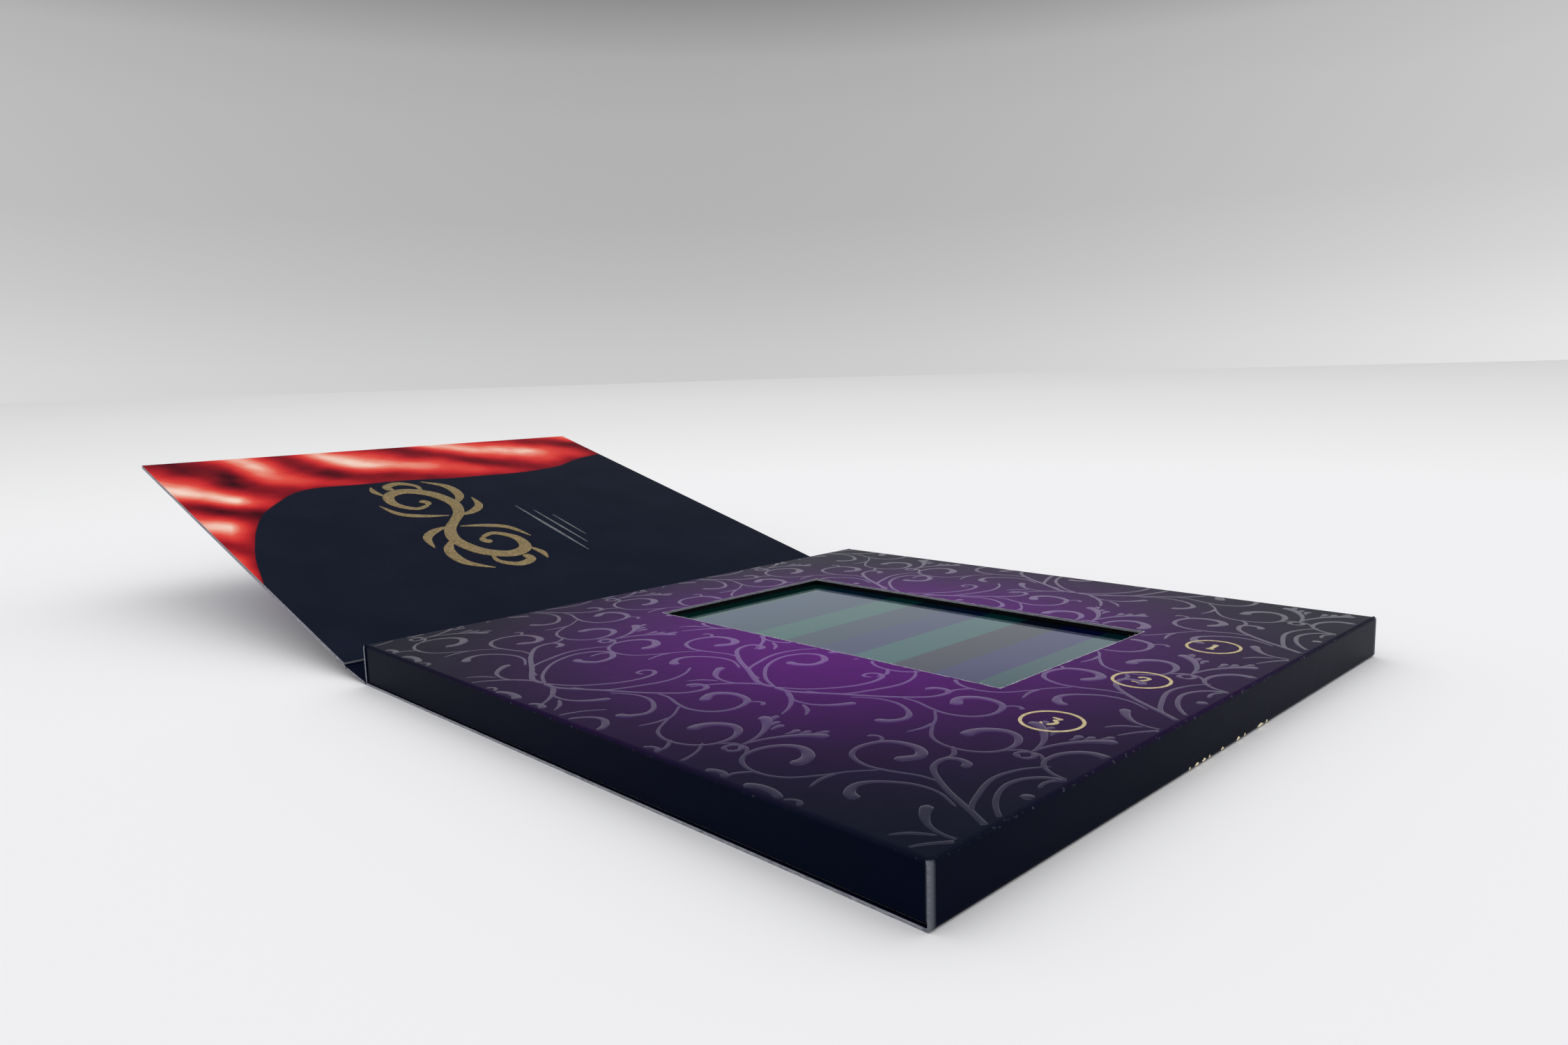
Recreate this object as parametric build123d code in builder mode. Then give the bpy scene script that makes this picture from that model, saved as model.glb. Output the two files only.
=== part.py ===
from build123d import *
import os
from math import acos, asin, cos, degrees, radians, sin

# A video brochure: a folded card case with a 4.3-inch screen, lying open on its back.
# Millimetres. +X runs from the spine to the free edge, +Y along the spine towards the charging
# port, +Z up out of the screen. The origin is the centre of the back's underside.

# ---------------------------------------------------------------- driving sizes

# Card case
case_length = 153.3  # X
case_width = 157.0  # Y
case_height = 8.9  # Z
card = 0.5  # printed card
fold_radius = 0.45  # of a fold, on the middle of the card
glue_line = 0.05  # between a tucked flap and the back
flap_width = 11.0
end_inset = 0.25  # the end walls stand in from the raw edges beside them
corner_gap = 0.1  # between an end wall and the walls beside it
cradle_gap = 0.3  # between the case and the foam inside it
cradle_corner = 1.0
pocket_gap = 0.3  # round each piece in the foam
pocket_corner = 0.8
window_corner = 0.6

# Spine and cover
spine_rise = 10.0  # degrees above level, as it lies open
cover_rise = 14.3  # degrees above level, as it lies open
crease_gap = 0.3  # width of the score that a crease bends in
closed_gap = 0.6  # between the shut cover and the top face
liner = 0.45  # card glued inside the cover
liner_margin = 0.6  # the liner stops this far from the cover's crease end
cover_overhang = 2.15  # past the free edge when shut
magnet_diameter = 8.0
magnet_height = 0.3
magnet_gap = 0.05

# Screen module
module_length = 105.5
module_width = 67.2
module_height = 2.9
driver_margin = 8.9  # from the active area to the module's edge on the ribbon side
frame_sheet = 0.25
frame_corner = 1.0
frame_lip = 3.95  # of the frame over the glass, at its ends
frame_reveal = 1.17  # from the active area to the frame's lip, at its sides
frame_slots = 3
frame_slot_length = 6.0
frame_slot_height = 0.8
glass_end_gap = 1.25
glass_side_gap = 1.4
glass_ledge = 4.2  # of the lower glass, for the ribbon
glass_border = 3.17  # from the upper glass's edge to the active area
lower_glass_height = 0.5
upper_glass_height = 0.45
window_end_lap = 1.3  # of the card over the frame's opening
window_side_lap = 0.43  # of the card over the active area
film_height = 0.15
film_gap = 0.4
gasket_height = 1.0
gasket_margin = 0.8  # the gasket's hole is larger than the window all round

# Player board
board_length = 66.0
board_width = 28.0
board_sheet = 1.0
board_floor = 3.2  # underside of the board above the back's underside
board_corner = 1.0
board_setback = 1.75  # from the port wall
board_margin = 12.15  # from the free-edge wall
board_to_screen = 3.07
tooling_hole_diameter = 1.6
tooling_hole_inset = 2.2
# Middles of the parts on it: from its spine-side edge, and from its edge beside the screen
video_chip_at = (35.0, 15.0)
memory_chip_at = (48.0, 15.0)
capacitors_at = (48.0, 7.0)
crystal_at = (12.0, 23.0)
inductor_at = (8.0, 15.0)
reed_at = (61.0, 14.0)

# Charging port
port_inset = 22.0  # from the board's spine-side edge
port_length = 7.5
port_height = 2.5
port_foot_length = 5.4
port_waist_drop = 0.4  # below the middle, where the sides start to draw in
port_depth = 5.6
port_sheet = 0.3
port_gap = 0.35
port_reach = 0.1  # the mouth stands back from the wall's outer face
tongue_length = 3.7
tongue_height = 0.6
tongue_lift = 0.3
tongue_depth = 4.2

# Chips and small parts on the board
video_chip_size = 10.0
video_chip_height = 1.3
video_chip_legs = 12
video_chip_pitch = 0.7
video_chip_chamfer = 0.4
memory_chip_length = 5.2
memory_chip_width = 5.3
memory_chip_height = 1.7
memory_chip_legs = 4
memory_chip_pitch = 1.27
leg_width = 0.3
leg_sheet = 0.15
leg_reach = 1.0
crystal_length = 11.0
crystal_width = 4.6
crystal_height = 3.0
crystal_round = 0.5
inductor_size = 6.0
inductor_corner = 0.8
inductor_core_diameter = 4.3
inductor_sides = 8
inductor_base = 0.7
inductor_height = 2.8
capacitor_length = 2.0
capacitor_width = 1.25
capacitor_height = 0.9
capacitor_pitch = 3.0
socket_length = 24.0
socket_width = 4.6
socket_height = 1.9
socket_gap = 0.05
socket_slot_lift = 0.63  # of the ribbon's slot above the board
socket_setback = 1.5  # from the edge of the board beside the screen
socket_slope = 1.15
reed_diameter = 1.8
reed_length = 10.0
reed_round = 0.6
reed_wire = 0.5
reed_wire_length = 2.0
reed_lift = 0.3

# Flat ribbons
ribbon_width = 20.5
ribbon_inset = 16.0  # from the player board's spine-side edge to the middle of the screen's ribbon
ribbon_sheet = 0.15
ribbon_ledge = 0.6  # from the upper glass to the ribbon's bonded end
ribbon_flat = 1.2  # straight on, past the module's edge
ribbon_bend = 0.7
button_ribbon_width = 5.0
button_ribbon_sheet = 0.3
button_ribbon_lap = 3.0  # soldered length on each board
button_ribbon_shift = 2.0  # towards the spine from the line of buttons
button_ribbon_flat = 1.0  # straight on, past each board's edge
button_ribbon_bend = 4.0

# Battery
battery_length = 40.0
battery_width = 30.0
battery_height = 4.8
battery_round = 1.2
battery_seam_sheet = 0.4
battery_seam_height = 3.4
battery_to_board = 14.0
battery_margin = 1.5  # from the port-side edge of the foam
battery_board_depth = 3.0
battery_board_height = 2.6
lead_diameter = 1.0
lead_pitch = 2.6
lead_flat = 3.5  # straight on at each end
lead_lap = 2.5  # over the player board
lead_bend = 6.0

# Speaker
speaker_diameter = 36.0
speaker_x = 20.0
speaker_rim_height = 1.2
speaker_rim_width = 2.6
speaker_rim_wall = 1.0
speaker_top_gap = 0.3
speaker_depth = 5.4
speaker_sheet = 0.6
speaker_vents = 6
speaker_vent_depth = 3.0
speaker_vent_width = 7.0
speaker_vent_round = 1.0
pot_diameter = 18.0
pot_height = 3.2
pot_wall = 0.7
coil_diameter = 13.4
coil_wall = 0.3
coil_height = 2.4
coil_gap = 0.35
coil_rise = 0.7  # the coil stands this far out of the pot
cone_sheet = 0.2
cone_dome_rise = 0.7
surround_inner = 11.0
surround_rise = 0.45
speaker_lug_length = 4.0
speaker_lug_width = 7.0
speaker_lead_diameter = 0.9
speaker_lead_pitch = 1.5
speaker_lead_wall_gap = 3.9  # from the free-edge wall to the middle of the pair of leads
speaker_lead_bend = 12.0  # radius beside the speaker
speaker_lead_turn = 3.5  # radius beside the player board
speaker_lead_lap = 2.5  # over the player board
speaker_pad_inset = 6.0  # of the leads' pads on the player board

# Push switches under the printed rings
ring_margin = 15.6  # from the free edge to the line of buttons
ring_spacing = 29.65
ring_drop = 6.4  # of the middle button, from the middle of the window
button_board_width = 14.0
button_board_end = 8.0  # past the last button
button_board_sheet = 1.0
buttons_to_screen = 3.85
switch_width = 6.0
switch_body_height = 3.5
switch_height = 4.3
switch_corner = 0.6
switch_floor = 0.9
switch_cavity_diameter = 4.8
switch_leg_width = 0.7
switch_leg_sheet = 0.3
switch_leg_reach = 1.0
switch_leg_lift = 1.2
switch_stud_height = 0.2
switch_stud_pitch = 4.3
plunger_diameter = 3.4
plunger_gap = 0.15
plunger_flange_diameter = 4.4
plunger_flange_height = 0.6
plunger_nub_diameter = 1.5
plunger_edge = 0.25
dome_diameter = 4.2
dome_height = 0.4
dome_sheet = 0.08
dome_lift = 0.05
press_gap = 0.1  # from the card to the plungers

# ---------------------------------------------------------------- places worked out from them

half_length = case_length / 2
half_width = case_width / 2
wall_x = half_length - card / 2  # middle of the side walls
top_mid = case_height - card / 2
top_under = case_height - card
flap_under = card + glue_line
flap_mid = flap_under + card / 2
floor = flap_under + card  # everything inside stands on this height
end_y = half_width - end_inset - card / 2  # middle of the end walls
end_inner = half_width - end_inset - card
side_inner = half_length - card

glass_length = module_length - 2 * glass_end_gap
lower_glass_width = module_width - 2 * glass_side_gap
upper_glass_width = lower_glass_width - glass_ledge
active_width = upper_glass_width - 2 * glass_border
frame_opening_length = module_length - 2 * frame_lip
frame_opening_width = active_width + 2 * frame_reveal
window_length = frame_opening_length - 2 * window_end_lap
window_width = active_width - 2 * window_side_lap

ring_x = half_length - ring_margin
button_board_left = ring_x - button_board_width / 2
module_x = button_board_left - buttons_to_screen - module_length / 2

board_top = board_floor + board_sheet
board_right = side_inner - board_margin
board_left = board_right - board_length
board_x = (board_left + board_right) / 2
board_back = end_inner - board_setback
board_front = board_back - board_width
board_y = (board_back + board_front) / 2
port_x = board_left + port_inset

ribbon_x = board_left + ribbon_inset
module_back = board_front - board_to_screen
module_y = module_back - module_width / 2
window_y = module_back - driver_margin - active_width / 2
ring_y = window_y - ring_drop
button_rows = [ring_y + ring_spacing, ring_y, ring_y - ring_spacing]
module_top = top_under - gasket_height
module_bottom = module_top - module_height
glass_top = module_top - frame_sheet

battery_right = board_left - battery_to_board
battery_x = battery_right - battery_length / 2
battery_y = end_inner - cradle_gap - battery_margin - battery_width / 2

module_front = module_back - module_width
speaker_y = (module_front - end_inner) / 2
speaker_radius = speaker_diameter / 2
rim_top = top_under - speaker_top_gap
rim_bottom = rim_top - speaker_rim_height
speaker_bottom = rim_top - speaker_depth

switch_base = top_under - press_gap - switch_height
button_board_bottom = switch_base - button_board_sheet
button_board_front = button_rows[-1] - button_board_end
button_board_back = button_rows[0] + button_board_end

# The creases. The spine turns on the first and carries the second, which the cover turns on.
crease_height = card / 2
crease_1 = Vector(-half_length - crease_gap - card / 2, 0, crease_height)
spine_width = case_height + closed_gap + liner + card / 2 - crease_height
spine_slope = Vector(-cos(radians(spine_rise)), 0, sin(radians(spine_rise)))
cover_slope = Vector(-cos(radians(cover_rise)), 0, sin(radians(cover_rise)))
crease_2 = crease_1 + spine_slope * spine_width
spine_plane = Plane(origin=crease_1, x_dir=spine_slope, z_dir=(0, 1, 0))
cover_plane = Plane(origin=crease_2, x_dir=cover_slope, z_dir=(0, 1, 0))
cover_length = half_length + cover_overhang - crease_1.X
cover_start = card / 2 + crease_gap

pieces = {}


def on_board(place):
    """X and Y of a place given from the player board's corner."""
    return (board_left + place[0], board_front + place[1])


# ---------------------------------------------------------------- folded card case

with BuildPart() as case_card:
    # Back, free-edge wall, top, spine-side wall and its tucked flap are one strip of card
    with BuildSketch(Plane.XZ):
        with BuildLine():
            FilletPolyline(
                (-half_length, card / 2),
                (wall_x, card / 2),
                (wall_x, top_mid),
                (-wall_x, top_mid),
                (-wall_x, flap_mid),
                (-half_length + flap_width, flap_mid),
                radius=fold_radius,
            )
        trace(line_width=card)
    extrude(amount=half_width, both=True)
    # The top stops where the end walls fold down, between the raw corners
    fold_start = end_y - fold_radius
    with BuildSketch(Plane.XY.offset(top_mid - fold_radius)):
        for side in (1, -1):
            with Locations((0, side * (fold_start + half_width) / 2)):
                Rectangle(2 * (side_inner - corner_gap), half_width - fold_start)
    extrude(amount=card + fold_radius, mode=Mode.SUBTRACT)
    # The spine-side flap is cut short for the flaps of the end walls
    with BuildSketch(Plane.XY.offset(card + glue_line / 2)):
        for side in (1, -1):
            with Locations((-side_inner, side * half_width)):
                Rectangle(
                    flap_width,
                    2 * (end_inset + card + flap_width),
                    align=(Align.MIN, Align.CENTER),
                )
    extrude(amount=card + fold_radius, mode=Mode.SUBTRACT)
    # End walls, each folded from the top and tucked in at the foot
    for side in (1, -1):
        with BuildSketch(Plane.YZ):
            with BuildLine():
                FilletPolyline(
                    (side * (end_y - flap_width / 2), top_mid),
                    (side * end_y, top_mid),
                    (side * end_y, flap_mid),
                    (side * (half_width - end_inset - flap_width), flap_mid),
                    radius=fold_radius,
                )
            trace(line_width=card)
        extrude(amount=side_inner - corner_gap, both=True)
    # Window
    with BuildSketch(Plane.XY.offset(top_under)):
        with Locations((module_x, window_y)):
            RectangleRounded(window_length, window_width, window_corner)
    extrude(amount=card, mode=Mode.SUBTRACT)
    # Mouth of the charging port in the far end wall
    with BuildSketch(Plane.XZ.offset(-end_inner)):
        with Locations((port_x, board_top + port_height / 2)):
            RectangleRounded(port_length + 2 * port_gap, port_height + 2 * port_gap, port_gap)
    extrude(amount=-card - end_inset, mode=Mode.SUBTRACT)
pieces["case_card"] = case_card

with BuildPart() as stiffener_board:
    stiffener_left = -half_length + flap_width + corner_gap
    stiffener_right = side_inner - cradle_gap
    with BuildSketch(Plane.XY.offset(card)):
        with Locations(((stiffener_left + stiffener_right) / 2, 0)):
            RectangleRounded(
                stiffener_right - stiffener_left,
                2 * (half_width - end_inset - flap_width - corner_gap),
                fold_radius,
            )
    extrude(amount=floor - card)
pieces["stiffener_board"] = stiffener_board

# ---------------------------------------------------------------- spine and cover

with BuildPart() as spine_panel:
    with BuildSketch(spine_plane):
        with Locations((spine_width / 2, 0)):
            SlotCenterToCenter(spine_width, card)
    extrude(amount=half_width, both=True)
pieces["spine_panel"] = spine_panel

with BuildPart() as cover_panel:
    with BuildSketch(cover_plane):
        with Locations((cover_start, 0)):
            Rectangle(cover_length - cover_start, card, align=(Align.MIN, Align.CENTER))
    extrude(amount=half_width, both=True)
pieces["cover_panel"] = cover_panel

# The magnet shuts the player off: it lies over the reed switch when the cover is shut
reed_x, reed_y = on_board(reed_at)
magnet_along = reed_x - crease_1.X
liner_plane = Plane(
    origin=cover_plane.from_local_coords(Vector(0, card / 2, 0)),
    x_dir=cover_slope,
    z_dir=cover_plane.y_dir,
)
magnet_side = liner_plane.to_local_coords(Vector(0, reed_y, 0)).Y

with BuildPart() as cover_liner:
    with BuildSketch(cover_plane):
        with Locations((cover_start + liner_margin, card / 2)):
            Rectangle(
                cover_length - cover_start - liner_margin,
                liner,
                align=(Align.MIN, Align.MIN),
            )
    extrude(amount=half_width, both=True)
    with BuildSketch(liner_plane):
        with Locations((magnet_along, magnet_side)):
            Circle(magnet_diameter / 2 + magnet_gap)
    extrude(amount=magnet_height + magnet_gap, mode=Mode.SUBTRACT)
pieces["cover_liner"] = cover_liner

with BuildPart() as cover_magnet:
    with BuildSketch(liner_plane):
        with Locations((magnet_along, magnet_side)):
            Circle(magnet_diameter / 2)
    extrude(amount=magnet_height)
pieces["cover_magnet"] = cover_magnet

# ---------------------------------------------------------------- screen

with BuildPart() as screen_frame:
    with BuildSketch(Plane.XY.offset(module_bottom)):
        with Locations((module_x, module_y)):
            RectangleRounded(module_length, module_width, frame_corner)
    extrude(amount=module_height)
    with BuildSketch(Plane.XY.offset(module_bottom)):
        with Locations((module_x, module_y)):
            RectangleRounded(
                module_length - 2 * frame_sheet,
                module_width - 2 * frame_sheet,
                frame_corner - frame_sheet,
            )
    extrude(amount=module_height - frame_sheet, mode=Mode.SUBTRACT)
    with BuildSketch(Plane.XY.offset(glass_top)):
        with Locations((module_x, window_y)):
            RectangleRounded(frame_opening_length, frame_opening_width, frame_corner)
    extrude(amount=frame_sheet, mode=Mode.SUBTRACT)
    # Latch slots along both long sides, and the slot that lets the ribbon out
    with BuildSketch(Plane.XZ.offset(-module_y)):
        with Locations((module_x, module_bottom + module_height / 4)):
            with GridLocations(module_length / (frame_slots + 1), 1, frame_slots, 1):
                Rectangle(frame_slot_length, frame_slot_height)
    extrude(amount=module_width / 2, both=True, mode=Mode.SUBTRACT)
    with BuildSketch(Plane.XZ.offset(-module_y)):
        with Locations((ribbon_x, glass_top - upper_glass_height / 2)):
            Rectangle(ribbon_width + 2 * pocket_gap, upper_glass_height)
    extrude(amount=-module_width / 2, mode=Mode.SUBTRACT)
pieces["screen_frame"] = screen_frame

glass_seat = glass_top - upper_glass_height - lower_glass_height
with BuildPart() as screen_backlight:
    with BuildSketch(Plane.XY.offset(module_bottom)):
        with Locations((module_x, module_y)):
            RectangleRounded(
                module_length - 4 * frame_sheet,
                module_width - 4 * frame_sheet,
                frame_corner - frame_sheet,
            )
    extrude(amount=glass_seat - module_bottom)
    # Lamp strip's notch at the ribbon side
    with BuildSketch(Plane.XY.offset(module_bottom)):
        with Locations((ribbon_x, module_back - 2 * frame_sheet)):
            Rectangle(ribbon_width, driver_margin / 2, align=(Align.CENTER, Align.MAX))
    extrude(amount=frame_slot_height, mode=Mode.SUBTRACT)
pieces["screen_backlight"] = screen_backlight

with BuildPart() as screen_glass:
    with BuildSketch(Plane.XY.offset(glass_seat)):
        with Locations((module_x, module_y)):
            Rectangle(glass_length, lower_glass_width)
    extrude(amount=lower_glass_height)
    # The upper glass is narrower, so a ledge is left for the ribbon
    with BuildSketch(Plane.XY.offset(glass_seat + lower_glass_height)):
        with Locations((module_x, module_y - lower_glass_width / 2)):
            Rectangle(glass_length, upper_glass_width, align=(Align.CENTER, Align.MIN))
    extrude(amount=upper_glass_height)
pieces["screen_glass"] = screen_glass

with BuildPart() as screen_film:
    with BuildSketch(Plane.XY.offset(glass_top)):
        with Locations((module_x, window_y)):
            RectangleRounded(
                frame_opening_length - 2 * film_gap,
                frame_opening_width - 2 * film_gap,
                frame_corner - film_gap,
            )
    extrude(amount=film_height)
pieces["screen_film"] = screen_film

with BuildPart() as screen_gasket:
    with BuildSketch(Plane.XY.offset(module_top)):
        with Locations((module_x, module_y)):
            RectangleRounded(module_length, module_width, frame_corner)
        with Locations((module_x, window_y)):
            RectangleRounded(
                window_length + 2 * gasket_margin,
                window_width + 2 * gasket_margin,
                window_corner,
                mode=Mode.SUBTRACT,
            )
    extrude(amount=gasket_height)
pieces["screen_gasket"] = screen_gasket

ribbon_start = glass_seat + lower_glass_height + ribbon_sheet / 2
ribbon_end = board_top + socket_slot_lift
socket_front = board_front + socket_setback
socket_y = socket_front + socket_width / 2
ledge_y = module_y - lower_glass_width / 2 + upper_glass_width + ribbon_ledge

with BuildPart() as screen_ribbon:
    with BuildSketch(Plane.YZ.offset(ribbon_x - ribbon_width / 2)):
        with BuildLine():
            FilletPolyline(
                (ledge_y, ribbon_start),
                (module_back + ribbon_flat, ribbon_start),
                (board_front, ribbon_end),
                (socket_y, ribbon_end),
                radius=ribbon_bend,
            )
        trace(line_width=ribbon_sheet)
    extrude(amount=ribbon_width)
pieces["screen_ribbon"] = screen_ribbon

# ---------------------------------------------------------------- player board

with BuildPart() as main_board:
    with BuildSketch(Plane.XY.offset(board_floor)):
        with Locations((board_x, board_y)):
            RectangleRounded(board_length, board_width, board_corner)
        with Locations((board_x, board_y)):
            with GridLocations(
                board_length - 2 * tooling_hole_inset,
                board_width - 2 * tooling_hole_inset,
                2,
                2,
            ):
                Circle(tooling_hole_diameter / 2, mode=Mode.SUBTRACT)
    extrude(amount=board_sheet)
pieces["main_board"] = main_board

with BuildPart() as ribbon_socket:
    with BuildSketch(Plane.YZ.offset(ribbon_x - socket_length / 2)):
        with Locations((socket_front, board_top)):
            Rectangle(socket_width, socket_height, align=(Align.MIN, Align.MIN))
        # Sloped lead-in over the ribbon's slot
        with BuildLine():
            Polyline(
                (socket_front, board_top + socket_height),
                (socket_front, board_top + socket_height - socket_slope / 2),
                (socket_front + socket_slope, board_top + socket_height),
                close=True,
            )
        make_face(mode=Mode.SUBTRACT)
    extrude(amount=socket_length)
    with BuildSketch(Plane.YZ.offset(ribbon_x - ribbon_width / 2 - socket_gap)):
        with Locations((socket_front, ribbon_end)):
            Rectangle(
                socket_width / 2 + socket_gap,
                ribbon_sheet + 2 * socket_gap,
                align=(Align.MIN, Align.CENTER),
            )
    extrude(amount=ribbon_width + 2 * socket_gap, mode=Mode.SUBTRACT)
pieces["ribbon_socket"] = ribbon_socket


def gull_leg(edge, lift, width, sheet, reach):
    """A package's bent leg: out of the +X side at `edge`, down to the board and along it."""
    with BuildPart() as leg:
        with BuildSketch(Plane.XZ):
            with BuildLine():
                FilletPolyline(
                    (edge - reach / 4, lift),
                    (edge + reach / 4, lift),
                    (edge + reach / 2, sheet / 2),
                    (edge + reach, sheet / 2),
                    radius=sheet / 2,
                )
            trace(line_width=sheet)
        extrude(amount=width / 2, both=True)
    return leg.part


video_chip_leg = gull_leg(
    video_chip_size / 2, video_chip_height / 2, leg_width, leg_sheet, leg_reach
)
with BuildPart() as video_chip:
    with BuildSketch(Plane.XY.offset(board_top + leg_sheet)):
        with Locations(on_board(video_chip_at)):
            Rectangle(video_chip_size, video_chip_size)
    extrude(amount=video_chip_height)
    chamfer(video_chip.edges().filter_by(Axis.Z), video_chip_chamfer)
    with Locations((*on_board(video_chip_at), board_top)):
        with PolarLocations(0, 4):
            with GridLocations(1, video_chip_pitch, 1, video_chip_legs):
                add(video_chip_leg)
pieces["video_chip"] = video_chip

memory_chip_leg = gull_leg(
    memory_chip_length / 2, memory_chip_height / 2, leg_width, leg_sheet, leg_reach
)
with BuildPart() as memory_chip:
    with BuildSketch(Plane.XY.offset(board_top + leg_sheet)):
        with Locations(on_board(memory_chip_at)):
            Rectangle(memory_chip_length, memory_chip_width)
    extrude(amount=memory_chip_height)
    with Locations((*on_board(memory_chip_at), board_top)):
        with PolarLocations(0, 2):
            with GridLocations(1, memory_chip_pitch, 1, memory_chip_legs):
                add(memory_chip_leg)
pieces["memory_chip"] = memory_chip

with BuildPart() as clock_crystal:
    with BuildSketch(Plane.XY.offset(board_top)):
        with Locations(on_board(crystal_at)):
            SlotOverall(crystal_length, crystal_width)
    extrude(amount=crystal_height)
    fillet(clock_crystal.faces().sort_by(Axis.Z)[-1].edges(), crystal_round)
pieces["clock_crystal"] = clock_crystal

with BuildPart() as power_inductor:
    # Square foot, round core and an eight-sided cap
    with BuildSketch(Plane.XY.offset(board_top)):
        with Locations(on_board(inductor_at)):
            RectangleRounded(inductor_size, inductor_size, inductor_corner)
    extrude(amount=inductor_base)
    with BuildSketch(Plane.XY.offset(board_top + inductor_base)):
        with Locations(on_board(inductor_at)):
            Circle(inductor_core_diameter / 2)
    extrude(amount=inductor_height - 2 * inductor_base)
    with BuildSketch(Plane.XY.offset(board_top + inductor_height - inductor_base)):
        with Locations(on_board(inductor_at)):
            RegularPolygon(inductor_size / 2, inductor_sides)
    extrude(amount=inductor_base)
pieces["power_inductor"] = power_inductor

with BuildPart() as board_capacitors:
    with BuildSketch(Plane.XY.offset(board_top)):
        with Locations(on_board(capacitors_at)):
            with GridLocations(capacitor_pitch, capacitor_pitch, 4, 2):
                Rectangle(capacitor_length, capacitor_width)
    extrude(amount=capacitor_height)
pieces["board_capacitors"] = board_capacitors

with BuildPart() as reed_switch:
    reed_z = board_top + reed_lift + reed_diameter / 2
    reed_foot = board_top + reed_wire / 2
    reed_end = reed_length / 2 + reed_wire_length
    with BuildSketch(Plane.XZ.offset(-reed_y)):
        with Locations((reed_x, reed_z)):
            Circle(reed_diameter / 2)
    extrude(amount=reed_length / 2, both=True)
    fillet(reed_switch.edges().filter_by(GeomType.CIRCLE), reed_round)
    for side in (1, -1):
        with BuildLine() as reed_wire_path:
            FilletPolyline(
                (reed_x, reed_y + side * reed_length / 4, reed_z),
                (reed_x, reed_y + side * reed_end, reed_z),
                (reed_x, reed_y + side * reed_end, reed_foot - reed_wire / 2),
                radius=reed_wire,
            )
        with BuildSketch(Plane(origin=reed_wire_path.line @ 0, z_dir=reed_wire_path.line % 0)):
            Circle(reed_wire / 2)
        sweep(path=reed_wire_path.line)
pieces["reed_switch"] = reed_switch

# ---------------------------------------------------------------- charging port

port_mouth = half_width - end_inset - port_reach
port_plane = Plane(
    origin=(port_x, port_mouth, board_top + port_height / 2), x_dir=(1, 0, 0), z_dir=(0, -1, 0)
)


def port_outline(shrink):
    """Corners of the port's section: flat on top, drawn in at the foot."""
    half = port_length / 2 - shrink
    top = port_height / 2 - shrink
    foot = port_foot_length / 2 - shrink
    waist = port_waist_drop - shrink / 2
    return [(-half, top), (half, top), (half, -waist), (foot, -top), (-foot, -top), (-half, -waist)]


with BuildPart() as usb_shell:
    with BuildSketch(port_plane):
        with BuildLine():
            Polyline(*port_outline(0), close=True)
        make_face()
    extrude(amount=port_depth)
    fillet(usb_shell.edges().filter_by(Axis.Y), port_sheet)
    with BuildSketch(port_plane):
        with BuildLine():
            Polyline(*port_outline(port_sheet), close=True)
        make_face()
    extrude(amount=port_depth - port_sheet, mode=Mode.SUBTRACT)
pieces["usb_shell"] = usb_shell

with BuildPart() as usb_tongue:
    with BuildSketch(port_plane.offset(port_depth - port_sheet)):
        with Locations((0, tongue_lift)):
            Rectangle(tongue_length, tongue_height)
    extrude(amount=-tongue_depth)
pieces["usb_tongue"] = usb_tongue

# ---------------------------------------------------------------- battery

with BuildPart() as battery_pouch:
    with BuildSketch(Plane.XY.offset(floor)):
        with Locations((battery_x, battery_y)):
            RectangleRounded(battery_length, battery_width - 2 * battery_seam_sheet, battery_round)
    extrude(amount=battery_height)
    fillet(battery_pouch.faces().sort_by(Axis.Z)[-1].edges(), battery_round)
    # Seams folded up along both sides
    for side in (1, -1):
        with BuildSketch(Plane.XY.offset(floor)):
            with Locations((battery_x, battery_y + side * battery_width / 2)):
                Rectangle(
                    battery_length - 2 * battery_round,
                    battery_seam_sheet,
                    align=(Align.CENTER, Align.MAX if side > 0 else Align.MIN),
                )
        extrude(amount=battery_seam_height)
pieces["battery_pouch"] = battery_pouch

with BuildPart() as battery_board:
    with BuildSketch(Plane.XY.offset(floor)):
        with Locations((battery_right, battery_y)):
            Rectangle(
                battery_board_depth,
                battery_width - 4 * battery_round,
                align=(Align.MIN, Align.CENTER),
            )
    extrude(amount=battery_board_height)
    fillet(battery_board.edges().filter_by(Axis.Z), battery_round / 2)
pieces["battery_board"] = battery_board


def lead(points, radii, diameter):
    """Round wire along straight runs joined by tangent arcs."""
    with BuildPart() as wire:
        with BuildLine() as route:
            FilletPolyline(*points, radius=radii)
        with BuildSketch(Plane(origin=route.line @ 0, z_dir=route.line % 0)):
            Circle(diameter / 2)
        sweep(path=route.line)
    return wire


battery_board_end = battery_right + battery_board_depth
battery_lead_start = floor + battery_board_height / 2
battery_lead_end = board_top + lead_diameter / 2
for row, name in enumerate(("battery_lead_red", "battery_lead_black")):
    lead_y = battery_y + (row - 1 / 2) * lead_pitch
    pieces[name] = lead(
        [
            (battery_board_end, lead_y, battery_lead_start),
            (battery_board_end + lead_flat, lead_y, battery_lead_start),
            (board_left - lead_flat, lead_y, battery_lead_end),
            (board_left + lead_lap, lead_y, battery_lead_end),
        ],
        [lead_bend, lead_bend],
        lead_diameter,
    )

# ---------------------------------------------------------------- speaker

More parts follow.
